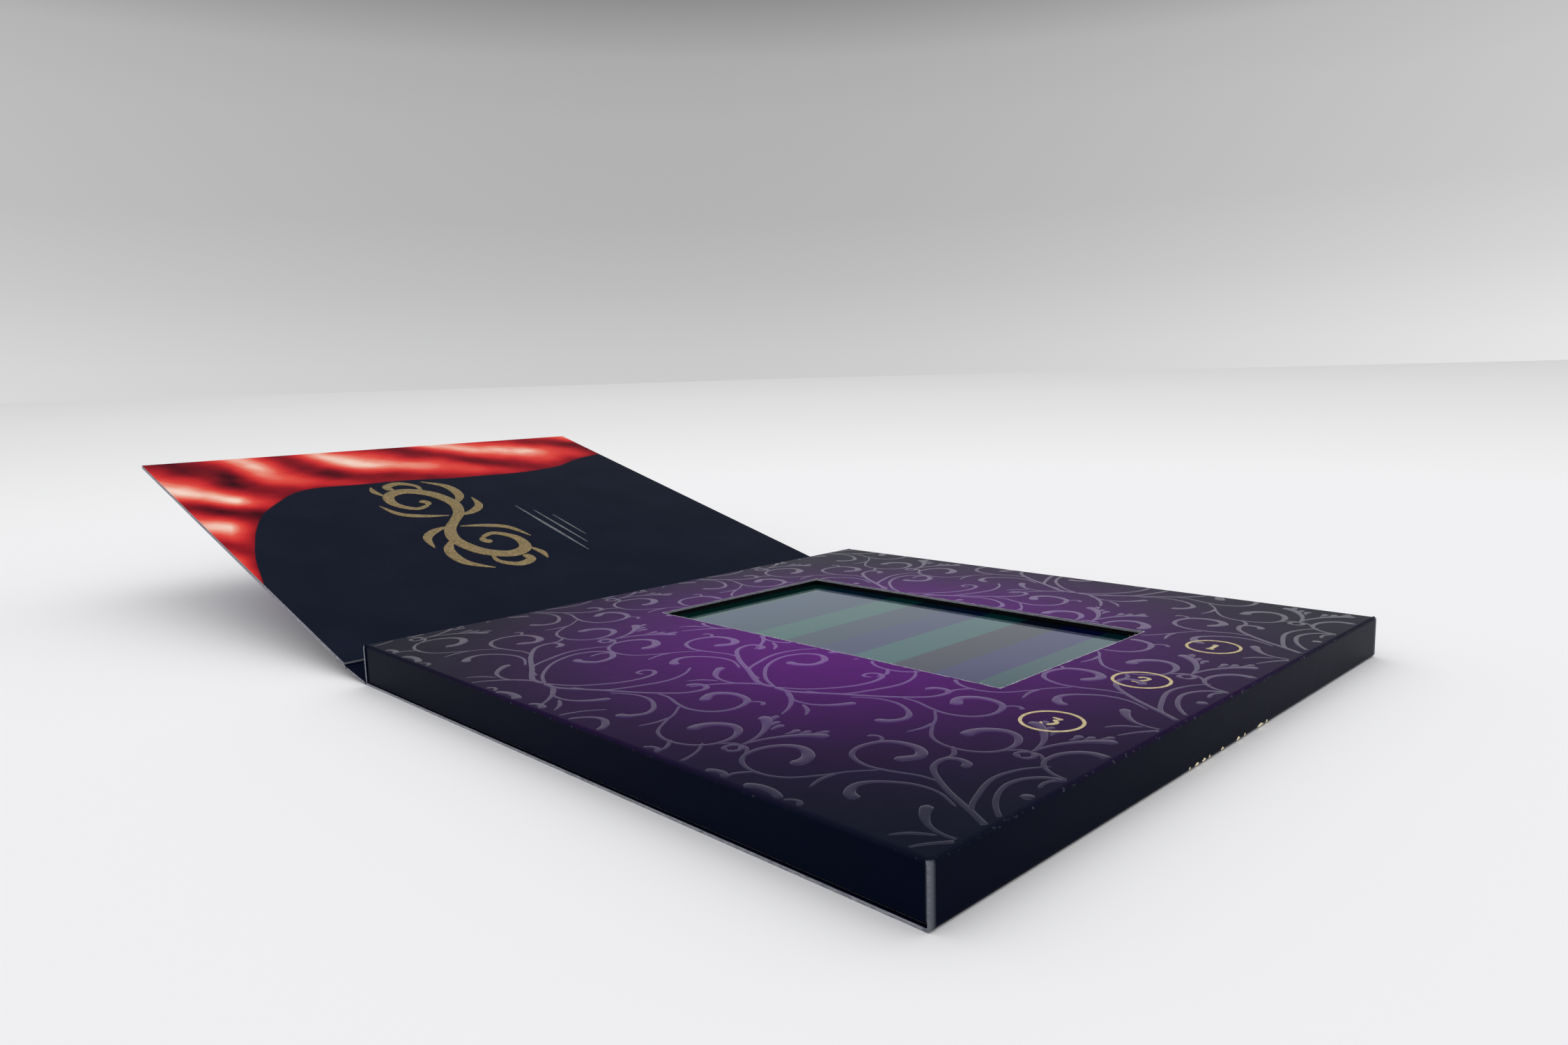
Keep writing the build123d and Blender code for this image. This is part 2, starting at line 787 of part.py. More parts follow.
speaker_axis = Axis((speaker_x, speaker_y, 0), (0, 0, 1))
speaker_section = Plane(origin=(speaker_x, speaker_y, 0), x_dir=(1, 0, 0), z_dir=(0, -1, 0))
rim_inner = speaker_radius - speaker_rim_width
ledge_top = rim_bottom + speaker_sheet
pot_radius = pot_diameter / 2
pot_top = speaker_bottom + pot_height
basket_foot = pot_top - 2 * speaker_sheet
basket_seat = pot_radius + glue_line
coil_outer = coil_diameter / 2
coil_inner = coil_outer - coil_wall
magnet_radius = coil_inner - coil_gap

with BuildPart() as speaker_frame:
    with BuildSketch(speaker_section):
        with BuildLine():
            Polyline(
                (speaker_radius, rim_top),
                (speaker_radius, rim_bottom),
                (rim_inner, rim_bottom),
                (basket_seat + speaker_sheet, basket_foot),
                (basket_seat, basket_foot),
                (basket_seat, basket_foot + speaker_sheet),
                (rim_inner, ledge_top),
                (speaker_radius - speaker_rim_wall, ledge_top),
                (speaker_radius - speaker_rim_wall, rim_top),
                close=True,
            )
        make_face()
    revolve(axis=speaker_axis)
    # Vents between the ribs of the basket
    with BuildSketch(Plane.XY.offset(speaker_bottom)):
        with Locations((speaker_x, speaker_y)):
            with PolarLocations((basket_seat + rim_inner) / 2, speaker_vents):
                RectangleRounded(speaker_vent_depth, speaker_vent_width, speaker_vent_round)
    extrude(amount=speaker_depth, mode=Mode.SUBTRACT)
    # Lug for the leads
    with BuildSketch(Plane.XY.offset(rim_bottom)):
        with Locations((speaker_x + speaker_radius - speaker_rim_wall, speaker_y)):
            Rectangle(
                speaker_lug_length + speaker_rim_wall,
                speaker_lug_width,
                align=(Align.MIN, Align.CENTER),
            )
    extrude(amount=speaker_sheet)
pieces["speaker_frame"] = speaker_frame

with BuildPart() as speaker_pot:
    with BuildSketch(Plane.XY.offset(speaker_bottom)):
        with Locations((speaker_x, speaker_y)):
            Circle(pot_radius)
    extrude(amount=pot_height)
    fillet(speaker_pot.faces().sort_by(Axis.Z)[0].edges(), pot_wall)
    with BuildSketch(Plane.XY.offset(speaker_bottom + pot_wall)):
        with Locations((speaker_x, speaker_y)):
            Circle(pot_radius - pot_wall)
    extrude(amount=pot_height, mode=Mode.SUBTRACT)
pieces["speaker_pot"] = speaker_pot

plate_bottom = pot_top - pot_wall
for name, low, high in (
    ("speaker_magnet", speaker_bottom + pot_wall, plate_bottom),
    ("speaker_pole_plate", plate_bottom, pot_top),
):
    with BuildPart() as disc:
        with BuildSketch(Plane.XY.offset(low)):
            with Locations((speaker_x, speaker_y)):
                Circle(magnet_radius)
        extrude(amount=high - low)
    pieces[name] = disc

cone_foot = pot_top + coil_rise
with BuildPart() as speaker_coil:
    with BuildSketch(Plane.XY.offset(cone_foot - coil_height)):
        with Locations((speaker_x, speaker_y)):
            Circle(coil_outer)
            Circle(coil_inner, mode=Mode.SUBTRACT)
    extrude(amount=coil_height)
pieces["speaker_coil"] = speaker_coil

with BuildPart() as speaker_cone:
    # Dome over the coil, then cone, rolled surround and flange through the middle of the sheet
    sheet_middle = cone_foot + cone_sheet / 2
    flange_middle = ledge_top + cone_sheet / 2
    flange_end = speaker_radius - speaker_rim_wall - glue_line
    dome_radius = (coil_outer**2 + cone_dome_rise**2) / (2 * cone_dome_rise)
    dome_sweep = degrees(asin(coil_outer / dome_radius))
    dome_centre = (0, sheet_middle + cone_dome_rise - dome_radius)
    with BuildSketch(speaker_section):
        with BuildLine():
            outside = CenterArc(dome_centre, dome_radius + cone_sheet / 2, 90, -dome_sweep)
            inside = CenterArc(dome_centre, dome_radius - cone_sheet / 2, 90, -dome_sweep)
            Line(outside @ 0, inside @ 0)
            Line(outside @ 1, inside @ 1)
        make_face()
        with BuildLine():
            Line((coil_inner, sheet_middle), (coil_outer, sheet_middle))
            Line((coil_outer, sheet_middle), (surround_inner, flange_middle))
            ThreePointArc(
                (surround_inner, flange_middle),
                ((surround_inner + rim_inner) / 2, flange_middle + surround_rise),
                (rim_inner, flange_middle),
            )
            Line((rim_inner, flange_middle), (flange_end, flange_middle))
        trace(line_width=cone_sheet)
    revolve(axis=speaker_axis)
pieces["speaker_cone"] = speaker_cone

# The two leads run side by side from the lug, along the free-edge wall, to the player board
lead_level = rim_bottom - speaker_lead_diameter / 2
pad_level = board_top + speaker_lead_diameter / 2
pad_y = board_front + speaker_pad_inset
lead_start = speaker_x + speaker_radius + speaker_rim_wall
for row, name in enumerate(("speaker_lead_red", "speaker_lead_black")):
    shift = (row - 1 / 2) * speaker_lead_pitch
    lead_x = side_inner - speaker_lead_wall_gap - shift
    pieces[name] = lead(
        [
            (lead_start, speaker_y + shift, lead_level),
            (lead_x, speaker_y + shift, lead_level),
            (lead_x, pad_y - shift, lead_level),
            (board_right + speaker_lead_lap, pad_y - shift, pad_level),
            (board_right - speaker_lead_lap, pad_y - shift, pad_level),
        ],
        [speaker_lead_bend - shift, speaker_lead_turn - shift, 2 * speaker_lead_turn],
        speaker_lead_diameter,
    )

# ---------------------------------------------------------------- push switches

button_board_length = button_board_back - button_board_front
button_board_y = (button_board_back + button_board_front) / 2
with BuildPart() as button_board:
    with BuildSketch(Plane.XY.offset(button_board_bottom)):
        with Locations((ring_x, button_board_y)):
            RectangleRounded(button_board_width, button_board_length, board_corner)
        with Locations((ring_x, button_board_y)):
            with GridLocations(1, ring_spacing, 1, 2):
                Circle(tooling_hole_diameter / 2, mode=Mode.SUBTRACT)
    extrude(amount=button_board_sheet)
pieces["button_board"] = button_board

switch_top = switch_base + switch_body_height
cavity_floor = switch_base + switch_floor
nub_bottom = cavity_floor + dome_height + dome_lift
flange_bottom = nub_bottom + plunger_flange_height / 2
flange_top = flange_bottom + plunger_flange_height
plunger_top = switch_base + switch_height

switch_leg = gull_leg(
    switch_width / 2, switch_leg_lift, switch_leg_width, switch_leg_sheet, switch_leg_reach
)

for number, button_y in enumerate(button_rows, start=1):
    centre = (ring_x, button_y)
    switch_section = Plane(origin=(ring_x, button_y, 0), x_dir=(1, 0, 0), z_dir=(0, -1, 0))
    switch_axis = Axis((ring_x, button_y, 0), (0, 0, 1))

    with BuildPart() as housing:
        with BuildSketch(Plane.XY.offset(switch_base)):
            with Locations(centre):
                RectangleRounded(switch_width, switch_width, switch_corner)
        extrude(amount=switch_body_height)
        with BuildSketch(Plane.XY.offset(cavity_floor)):
            with Locations(centre):
                Circle(switch_cavity_diameter / 2)
        extrude(amount=flange_top + plunger_gap - cavity_floor, mode=Mode.SUBTRACT)
        with BuildSketch(Plane.XY.offset(cavity_floor)):
            with Locations(centre):
                Circle(plunger_diameter / 2 + plunger_gap)
        extrude(amount=switch_body_height, mode=Mode.SUBTRACT)
        # Corner studs that hold the cover plate, and four legs folded onto the board
        with BuildSketch(Plane.XY.offset(switch_top)):
            with Locations(centre):
                with GridLocations(switch_stud_pitch, switch_stud_pitch, 2, 2):
                    Circle(switch_corner / 2)
        extrude(amount=switch_stud_height)
        with Locations((ring_x, button_y, switch_base)):
            with PolarLocations(0, 2):
                with GridLocations(1, switch_width - 2 * switch_leg_width, 1, 2):
                    add(switch_leg)
    pieces[f"button_{number}_housing"] = housing

    with BuildPart() as dome:
        snap_radius = ((dome_diameter / 2) ** 2 + dome_height**2) / (2 * dome_height)
        snap_sweep = degrees(acos(1 - dome_height / snap_radius))
        under_radius = snap_radius - dome_sheet
        under_sweep = degrees(acos((snap_radius - dome_height) / under_radius))
        snap_centre = (0, cavity_floor + dome_height - snap_radius)
        with BuildSketch(switch_section):
            with BuildLine():
                outside = CenterArc(snap_centre, snap_radius, 90, -snap_sweep)
                inside = CenterArc(snap_centre, under_radius, 90, -under_sweep)
                Line(outside @ 0, inside @ 0)
                Line(outside @ 1, inside @ 1)
            make_face()
        revolve(axis=switch_axis)
    pieces[f"button_{number}_dome"] = dome

    with BuildPart() as plunger:
        with BuildSketch(switch_section):
            with BuildLine():
                Polyline(
                    (0, nub_bottom),
                    (plunger_nub_diameter / 2, nub_bottom),
                    (plunger_nub_diameter / 2, flange_bottom),
                    (plunger_flange_diameter / 2, flange_bottom),
                    (plunger_flange_diameter / 2, flange_top),
                    (plunger_diameter / 2, flange_top),
                    (plunger_diameter / 2, plunger_top - plunger_edge),
                    (plunger_diameter / 2 - plunger_edge, plunger_top),
                    (0, plunger_top),
                    close=True,
                )
            make_face()
        revolve(axis=switch_axis)
    pieces[f"button_{number}_plunger"] = plunger

with BuildPart() as button_ribbon:
    ribbon_rest = button_ribbon_sheet / 2
    button_end = button_board_back - button_ribbon_lap
    board_end = board_front + button_ribbon_lap
    with BuildSketch(Plane.YZ.offset(ring_x - button_ribbon_width / 2 - button_ribbon_shift)):
        with BuildLine():
            FilletPolyline(
                (button_end, switch_base + ribbon_rest),
                (button_board_back + button_ribbon_flat, switch_base + ribbon_rest),
                (board_front - button_ribbon_flat, board_top + ribbon_rest),
                (board_end, board_top + ribbon_rest),
                radius=button_ribbon_bend,
            )
        trace(line_width=button_ribbon_sheet)
    extrude(amount=button_ribbon_width)
pieces["button_ribbon"] = button_ribbon

# ---------------------------------------------------------------- foam cradle


# Each pocket: middle X and Y, length, width and the height of its floor
channel_low = lead_level - speaker_lead_diameter
pockets = [
    # screen, player board, button board
    (module_x, module_y, module_length, module_width, module_bottom),
    (board_x, board_y, board_length, board_width, board_floor),
    (ring_x, button_board_y, button_board_width, button_board_length, button_board_bottom),
    # battery with its small board, right through the foam
    (
        battery_x + battery_board_depth / 2,
        battery_y,
        battery_length + battery_board_depth,
        battery_width,
        floor,
    ),
    # ways for the screen's ribbon, the buttons' ribbon and the battery's leads
    (ribbon_x, (module_back + board_front) / 2, ribbon_width, 2 * board_to_screen, board_top),
    (
        ring_x - button_ribbon_shift,
        (button_board_back + board_front) / 2,
        button_ribbon_width,
        board_front - button_board_back + 2 * button_ribbon_flat,
        min(switch_base, board_top),
    ),
    (
        (battery_board_end + board_left) / 2,
        battery_y,
        battery_to_board,
        2 * lead_pitch,
        battery_lead_start - lead_diameter,
    ),
    # way for the port
    (port_x, (board_back + half_width) / 2, port_length, half_width - board_back, board_floor),
    # speaker's lug, and the end of its leads over the player board
    (
        speaker_x + speaker_radius + (speaker_lug_length - speaker_rim_width) / 2,
        speaker_y,
        speaker_lug_length + speaker_rim_width,
        speaker_lug_width,
        channel_low,
    ),
    (
        (board_right + side_inner - speaker_lead_wall_gap) / 2,
        pad_y,
        side_inner - speaker_lead_wall_gap - board_right + speaker_lead_lap,
        speaker_lead_pitch + speaker_lead_diameter,
        board_top,
    ),
]

with BuildPart() as foam_cradle:
    with BuildSketch(Plane.XY.offset(floor)):
        RectangleRounded(
            2 * (side_inner - cradle_gap), 2 * (end_inner - cradle_gap), cradle_corner
        )
    extrude(amount=top_under - floor)
    for x, y, length, width, low in pockets:
        with BuildSketch(Plane.XY.offset(low)):
            with Locations((x, y)):
                RectangleRounded(length + 2 * pocket_gap, width + 2 * pocket_gap, pocket_corner)
        extrude(amount=top_under - low, mode=Mode.SUBTRACT)
    # Speaker: the rim sits on a ledge
    for radius, low in (
        (speaker_radius + pocket_gap, rim_bottom),
        (rim_inner + speaker_rim_wall, floor),
    ):
        with BuildSketch(Plane.XY.offset(low)):
            with Locations((speaker_x, speaker_y)):
                Circle(radius)
        extrude(amount=top_under - low, mode=Mode.SUBTRACT)
    # Channel for the speaker's leads
    with BuildSketch(Plane.XY.offset(channel_low)):
        with BuildLine():
            FilletPolyline(
                (lead_start, speaker_y),
                (side_inner - speaker_lead_wall_gap, speaker_y),
                (side_inner - speaker_lead_wall_gap, pad_y),
                (board_right, pad_y),
                radius=[speaker_lead_bend, speaker_lead_turn],
            )
        trace(line_width=speaker_lead_pitch + speaker_lead_diameter + 2 * pocket_gap)
    extrude(amount=top_under - channel_low, mode=Mode.SUBTRACT)
pieces["foam_cradle"] = foam_cradle

# ---------------------------------------------------------------- write every piece

os.makedirs("parts", exist_ok=True)
for name, piece in pieces.items():
    piece.part.label = name
    export_step(piece.part, f"parts/{name}.step")
print(len(pieces), "pieces")
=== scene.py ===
# %% [markdown]
# # A video brochure, dressed for its picture
# The brochure is a folded card case with a small screen under a window, three printed buttons
# and a card cover on a narrow spine. The hard pieces come from the CAD model, already in place.
# Here they get their print, varnish, foil and light, and the few things that are too fine for
# a solid model: raised scrolls, paper fibres and the bent skin of the creases.

# %% Load the solid model
import math

import bmesh
import bpy
from mathutils import Matrix, Vector
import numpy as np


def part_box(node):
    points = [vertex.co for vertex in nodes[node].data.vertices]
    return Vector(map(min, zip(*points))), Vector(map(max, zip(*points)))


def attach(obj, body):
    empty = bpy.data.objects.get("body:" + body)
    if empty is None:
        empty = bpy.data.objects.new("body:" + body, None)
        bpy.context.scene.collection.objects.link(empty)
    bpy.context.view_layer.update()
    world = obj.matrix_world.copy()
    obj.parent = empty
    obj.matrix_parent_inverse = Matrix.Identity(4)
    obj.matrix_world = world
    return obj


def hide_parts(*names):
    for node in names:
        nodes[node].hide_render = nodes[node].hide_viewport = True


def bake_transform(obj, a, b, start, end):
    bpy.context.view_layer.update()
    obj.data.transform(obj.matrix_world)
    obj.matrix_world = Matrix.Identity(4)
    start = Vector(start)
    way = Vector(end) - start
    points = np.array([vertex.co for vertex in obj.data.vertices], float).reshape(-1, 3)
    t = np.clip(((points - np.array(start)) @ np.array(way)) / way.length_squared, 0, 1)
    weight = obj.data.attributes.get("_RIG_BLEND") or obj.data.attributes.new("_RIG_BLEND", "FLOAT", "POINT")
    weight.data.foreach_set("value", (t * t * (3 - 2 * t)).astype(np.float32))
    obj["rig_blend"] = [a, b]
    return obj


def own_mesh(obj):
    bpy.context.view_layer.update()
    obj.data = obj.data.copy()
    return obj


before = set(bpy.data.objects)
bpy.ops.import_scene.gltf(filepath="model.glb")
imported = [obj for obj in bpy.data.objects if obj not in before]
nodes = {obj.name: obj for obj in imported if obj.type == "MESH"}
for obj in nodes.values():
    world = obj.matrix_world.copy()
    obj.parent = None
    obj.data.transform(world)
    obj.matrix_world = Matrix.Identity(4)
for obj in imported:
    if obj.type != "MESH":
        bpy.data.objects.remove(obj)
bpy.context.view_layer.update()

MM = 0.001

# %% [markdown]
# The places that the print follows are read from the solids: the case, the window's rim over
# the screen and the slope of the cover. X runs from the spine to the free edge, Y along the
# spine and Z up, with everything in metres.

# %% Places read from the solids
case_low, case_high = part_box("case_card")
top_z = case_high.z
window_middle = Vector((-2.55, 9.1, 0)) * MM
window_half = Vector((47.5, 26.5, 0)) * MM
ring_x = 61.05 * MM
ring_rows = [32.35 * MM, 2.7 * MM, -26.95 * MM]
fold_round = 0.7 * MM
crease_1 = Vector((-77.2, 0, 0.25)) * MM
crease_2 = Vector((-86.9988, 0, 1.9778)) * MM
spine_rise = math.radians(10)
cover_rise = math.radians(14.3)
cover_length = 156.0 * MM
print("top face at", round(top_z / MM, 2), "mm")

# %% [markdown]
# ## Camera
# A phone stood close to the near corner, just above the table, with its wide lens. The view
# was worked out from the case's corners: a square case gives enough lines for that. The three
# axes and the place go straight into the camera's matrix.

# %% Camera at the photograph's angle
view_right = Vector((0.702347, 0.711302, -0.027556))
view_up = Vector((-0.079112, 0.116470, 0.990038))
view_forward = Vector((-0.707425, 0.693170, -0.138075))
camera_data = bpy.data.cameras.new("camera")
camera_data.sensor_width = 36
camera_data.lens = 24.352
camera_data.clip_start = 0.005
camera_data.clip_end = 40
camera = bpy.data.objects.new("camera", camera_data)
camera_matrix = Matrix((view_right, view_up, -view_forward)).transposed().to_4x4()
camera_matrix.translation = Vector((147.418, -169.631, 64.314)) * MM
camera.matrix_world = camera_matrix
bpy.context.scene.collection.objects.link(camera)
bpy.context.scene.camera = camera
print("camera stands", round(camera.location.length, 3), "m from the case's middle")

# %% [markdown]
# ## Wiring materials
# Every finish is a small net of nodes round one Principled shader. Short helpers keep that
# readable: one turns an ink as seen on screen into the linear numbers that Blender mixes, one
# adds a node with its wires, one starts a finish, and the rest are single steps with a name.

# %% Helpers for finishes
def ink(red, green, blue):
    """Linear colour of a screen colour given from 0 to 255."""
    linear = []
    for part in (red, green, blue):
        share = part / 255
        linear.append(share / 12.92 if share <= 0.04045 else ((share + 0.055) / 1.055) ** 2.4)
    return (*linear, 1.0)


def put(tree, kind, wires=None, **settings):
    """Adds a node. A wire is a value, or a socket to link from."""
    node = tree.nodes.new(kind)
    for key, value in settings.items():
        setattr(node, key, value)
    for key, value in (wires or {}).items():
        if isinstance(value, bpy.types.NodeSocket):
            tree.links.new(value, node.inputs[key])
        else:
            node.inputs[key].default_value = value
    return node


def maths(tree, operation, first, second=0.0, third=0.0):
    """One sum on numbers."""
    wires = {0: first, 1: second, 2: third}
    return put(tree, "ShaderNodeMath", wires, operation=operation).outputs[0]


def axes(tree, vector):
    """The three numbers of a vector."""
    return put(tree, "ShaderNodeSeparateXYZ", {0: vector}).outputs


def over(tree, value, limit):
    """1 where a number is above a limit."""
    return maths(tree, "GREATER_THAN", value, limit)


def under(tree, value, limit):
    """1 where a number is below a limit."""
    return maths(tree, "LESS_THAN", value, limit)


def all_of(tree, first, *others):
    """The product: 1 where every test is 1."""
    for test in others:
        first = maths(tree, "MULTIPLY", first, test)
    return first


def any_of(tree, first, *others):
    """The greatest: 1 where any test is 1."""
    for test in others:
        first = maths(tree, "MAXIMUM", first, test)
    return first


def within(tree, value, low, high):
    """1 where a number lies between two others."""
    return all_of(tree, over(tree, value, low), under(tree, value, high))


def clamped(tree, value, low, high):
    """0 where value is under low, 1 over high, even in between."""
    wires = {"Value": value, "From Min": low, "From Max": high}
    return put(tree, "ShaderNodeMapRange", wires, clamp=True).outputs[0]


def ramp(tree, value, stops, blend="LINEAR"):
    """Colours along a number: stops are (place, colour)."""
    node = put(tree, "ShaderNodeValToRGB", {"Fac": value})
    node.color_ramp.interpolation = blend
    while len(node.color_ramp.elements) < len(stops):
        node.color_ramp.elements.new(0.5)
    for element, (place, colour) in zip(node.color_ramp.elements, stops):
        element.position = place
        element.color = colour
    return node.outputs["Color"]


def mixed(tree, share, first, second):
    """From the first colour to the second."""
    wires = {0: share, 6: first, 7: second}
    return put(tree, "ShaderNodeMix", wires, data_type="RGBA").outputs[2]


def grain(tree, at, size, detail=3.0, stretch=(1, 1, 1)):
    """Noise whose blotches are about size metres."""
    if tuple(stretch) != (1, 1, 1):
        at = put(tree, "ShaderNodeMapping", {"Vector": at, "Scale": stretch}).outputs[0]
    wires = {"Vector": at, "Scale": 1 / size, "Detail": detail}
    return put(tree, "ShaderNodeTexNoise", wires).outputs["Fac"]


def finish(name, **sockets):
    """A new material and its tree, shader and object coordinates."""
    material = bpy.data.materials.new(name)
    material.use_nodes = True
    tree = material.node_tree
    shader = tree.nodes["Principled BSDF"]
    for key, value in sockets.items():
        shader.inputs[key.replace("_", " ")].default_value = value
    place = put(tree, "ShaderNodeTexCoord")
    return material, tree, shader, place


def rough_between(tree, shader, value, low, high):
    """The shader's roughness wanders from low to high with a number."""
    wires = {"Value": value, "To Min": low, "To Max": high}
    wander = put(tree, "ShaderNodeMapRange", wires).outputs[0]
    tree.links.new(wander, shader.inputs["Roughness"])


def bumped(tree, shader, height, depth, strength=1.0):
    """Small relief: height from 0 to 1 stands for depth metres."""
    wires = {"Height": height, "Distance": depth, "Strength": strength}
    relief = put(tree, "ShaderNodeBump", wires).outputs[0]
    tree.links.new(relief, shader.inputs["Normal"])


print("helpers ready")

# %% [markdown]
# ## Printed card
# The case is printed in one go: a purple glow that fades to a blue-black, under a soft matt
# film. The glow is round, so it needs no picture: the distance from its middle goes through a
# bell curve. The film hardly shines from above, but it greys where the eye skims it.

# %% Inks, and steps that several prints share
navy_ink = ink(4, 9, 27)
# The top face's blue-black, lifted above the walls' ink: painted sheen
painted_sheen_ink = ink(18, 24, 38)
glow_ink = ink(90, 6, 118)
glow_middle = (-1.65 * MM, 1.94 * MM, 0)
glow_radius, glow_fall = 62.6 * MM, 2.9
film = {
    "Specular_IOR_Level": 0.012,
    "Sheen_Weight": 0.11,
    "Sheen_Roughness": 0.22,
    "Sheen_Tint": (0.85, 0.9, 1, 1),
}


def glow(tree, at):
    """1 in the middle of the purple glow, falling to 0 past its radius."""
    wires = {0: at, 1: (1, 1, 0)}
    flat = put(tree, "ShaderNodeVectorMath", wires, operation="MULTIPLY").outputs[0]
    wires = {0: flat, 1: glow_middle}
    away = put(tree, "ShaderNodeVectorMath", wires, operation="DISTANCE").outputs["Value"]
    share = maths(tree, "POWER", maths(tree, "DIVIDE", away, glow_radius), glow_fall)
    return maths(tree, "EXPONENT", maths(tree, "MULTIPLY", share, -1))


def film_relief(tree, shader, at):
    """The matt film: a very fine tooth, with broad soft waves of the card under it."""
    tooth = grain(tree, at, 0.12 * MM, 2)
    waves = grain(tree, at, 14 * MM, 1)
    rough_between(tree, shader, grain(tree, at, 6 * MM, 4), 0.24, 0.32)
    height = maths(tree, "MULTIPLY_ADD", waves, 6.0, tooth)
    bumped(tree, shader, height, 0.004 * MM, 0.5)


def mottled(tree, at, colour):
    """Ink is never quite even: it wanders by a tenth in blotches of a few millimetres."""
    pale, full = (0.86, 0.86, 0.86, 1), (1, 1, 1, 1)
    wander = ramp(tree, grain(tree, at, 4 * MM, 5), [(0.25, pale), (0.75, full)])
    wires = {0: 1.0, 6: colour, 7: wander}
    return put(tree, "ShaderNodeMix", wires, data_type="RGBA", blend_type="MULTIPLY").outputs[2]


def raw_card(tree, at):
    """The colour of cut card: pale grey, with darker fibres along it."""
    fibres = grain(tree, at, 0.4 * MM, 5, (0.4, 0.4, 3))
    return ramp(tree, fibres, [(0.3, ink(98, 100, 110)), (0.7, ink(158, 158, 166))])


def faces_end(tree, place):
    """1 on faces that look along Y, which are cuts through the card."""
    sideways = axes(tree, place.outputs["Normal"])[1]
    return over(tree, maths(tree, "ABSOLUTE", sideways), 0.7)


print("glow", round(glow_radius / MM, 1), "mm in radius")

# %% Print of the top face
card_finish, tree, shader, place = finish("printed_card", **film)
at = place.outputs["Object"]
x, y, z = axes(tree, at)
far_x, far_y = maths(tree, "ABSOLUTE", x), maths(tree, "ABSOLUTE", y)
level = maths(tree, "ABSOLUTE", axes(tree, place.outputs["Normal"])[2])
on_top = clamped(tree, z, 8.2 * MM, 8.88 * MM)
# On the top face the ground takes the lifted ink, greyer than the walls: painted sheen
ground = mixed(tree, on_top, navy_ink, painted_sheen_ink)
printed = mixed(tree, all_of(tree, glow(tree, at), on_top), ground, glow_ink)
worn = mottled(tree, at, printed)
print("top face inked")

# %% Wear: the window's torn rim, rubbed folds and scuffed corners
past_rim = []
for value, middle, half in (
    (x, window_middle.x, window_half.x),
    (y, window_middle.y, window_half.y),
):
    away = maths(tree, "ABSOLUTE", maths(tree, "SUBTRACT", value, middle))
    past_rim.append(maths(tree, "SUBTRACT", away, half))
torn = maths(tree, "MULTIPLY_ADD", grain(tree, at, 1.2 * MM, 5), 0.5 * MM, -0.12 * MM)
rim = under(tree, any_of(tree, *past_rim), torn)
past_fold_x = maths(tree, "SUBTRACT", far_x, 76.2 * MM)
past_fold_y = maths(tree, "SUBTRACT", far_y, 78.1 * MM)
rub = all_of(
    tree,
    clamped(tree, any_of(tree, past_fold_x, past_fold_y), 0.0, 0.2 * MM),
    clamped(tree, grain(tree, at, 0.7 * MM, 4), 0.6, 0.72),
    within(tree, z, 8.3 * MM, 9.2 * MM),
    under(tree, level, 0.95),
)
worn = mixed(tree, maths(tree, "MULTIPLY", rub, 0.22), worn, raw_card(tree, at))
worn = mixed(tree, maths(tree, "MULTIPLY", rim, 0.85), worn, ink(196, 194, 204))
scuff_end = all_of(tree, clamped(tree, far_x, 75.7 * MM, 76.1 * MM), over(tree, far_y, 78.2 * MM))
scuff_side = all_of(tree, clamped(tree, far_y, 77.4 * MM, 78.2 * MM), over(tree, far_x, 76.4 * MM))
scuff = maths(tree, "MULTIPLY", any_of(tree, scuff_end, scuff_side), 0.55)
scuff = all_of(tree, scuff, over(tree, x, 0.0), under(tree, level, 0.9))
worn = mixed(tree, scuff, worn, ink(118, 122, 132))
print("rim, folds and corners worn")

# %% [markdown]
# A row of gold runs over the lower fold of the free edge, where it has cracked into flecks. A
# ramp along Y gives each fleck a lens shape: it says how tall the gold stands there.

# %% Stray gold on the lower fold
# Each fleck: its middle along Y and half its length, in millimetres
flecks = [
    (-11.6, 0.5), (-9.1, 1.2), (-6.4, 1.3), (-4.3, 0.6), (0.6, 0.9), (7.0, 1.3), (9.7, 0.5),
    (16.4, 2.0), (19.2, 0.7),
]
fleck_low, fleck_high = -15 * MM, 25 * MM
fleck_level, fleck_height, fleck_rag = 0.55 * MM, 0.62 * MM, 0.4 * MM
fleck_stops = []
for middle, half in flecks:
    for spot, height in ((middle - half, 0.0), (middle, 1.0), (middle + half, 0.0)):
        share = (spot * MM - fleck_low) / (fleck_high - fleck_low)
        fleck_stops.append((share, (height, height, height, 1)))
tall = ramp(tree, clamped(tree, y, fleck_low, fleck_high), fleck_stops)
tall = maths(tree, "MULTIPLY_ADD", tall, fleck_height, -0.02 * MM)
away = maths(tree, "ABSOLUTE", maths(tree, "SUBTRACT", z, fleck_level))
ragged = maths(tree, "MULTIPLY_ADD", grain(tree, at, 0.6 * MM, 4), fleck_rag, away)
fleck = all_of(tree, under(tree, ragged, tall), over(tree, x, 75.5 * MM))
# The flecks are real gold; their pale, bright tone is partly painted reflection of the foil's shine
worn = mixed(tree, fleck, worn, ink(244, 230, 190))
print(len(flecks), "gold flecks on the lower fold")

# %% Bare card where the case is cut, and inside it, with painted shade on the free edge's cut
end_cut = all_of(tree, faces_end(tree, place), over(tree, far_y, 78.3 * MM))
near_window = all_of(tree, under(tree, far_x, 60 * MM), under(tree, far_y, 60 * MM))
window_cut = all_of(tree, under(tree, level, 0.5), near_window)
inside = all_of(
    tree,
    under(tree, far_x, 76.17 * MM),
    under(tree, far_y, 77.77 * MM),
    within(tree, z, 0.45 * MM, 8.45 * MM),
)
bare = any_of(tree, end_cut, window_cut, inside)
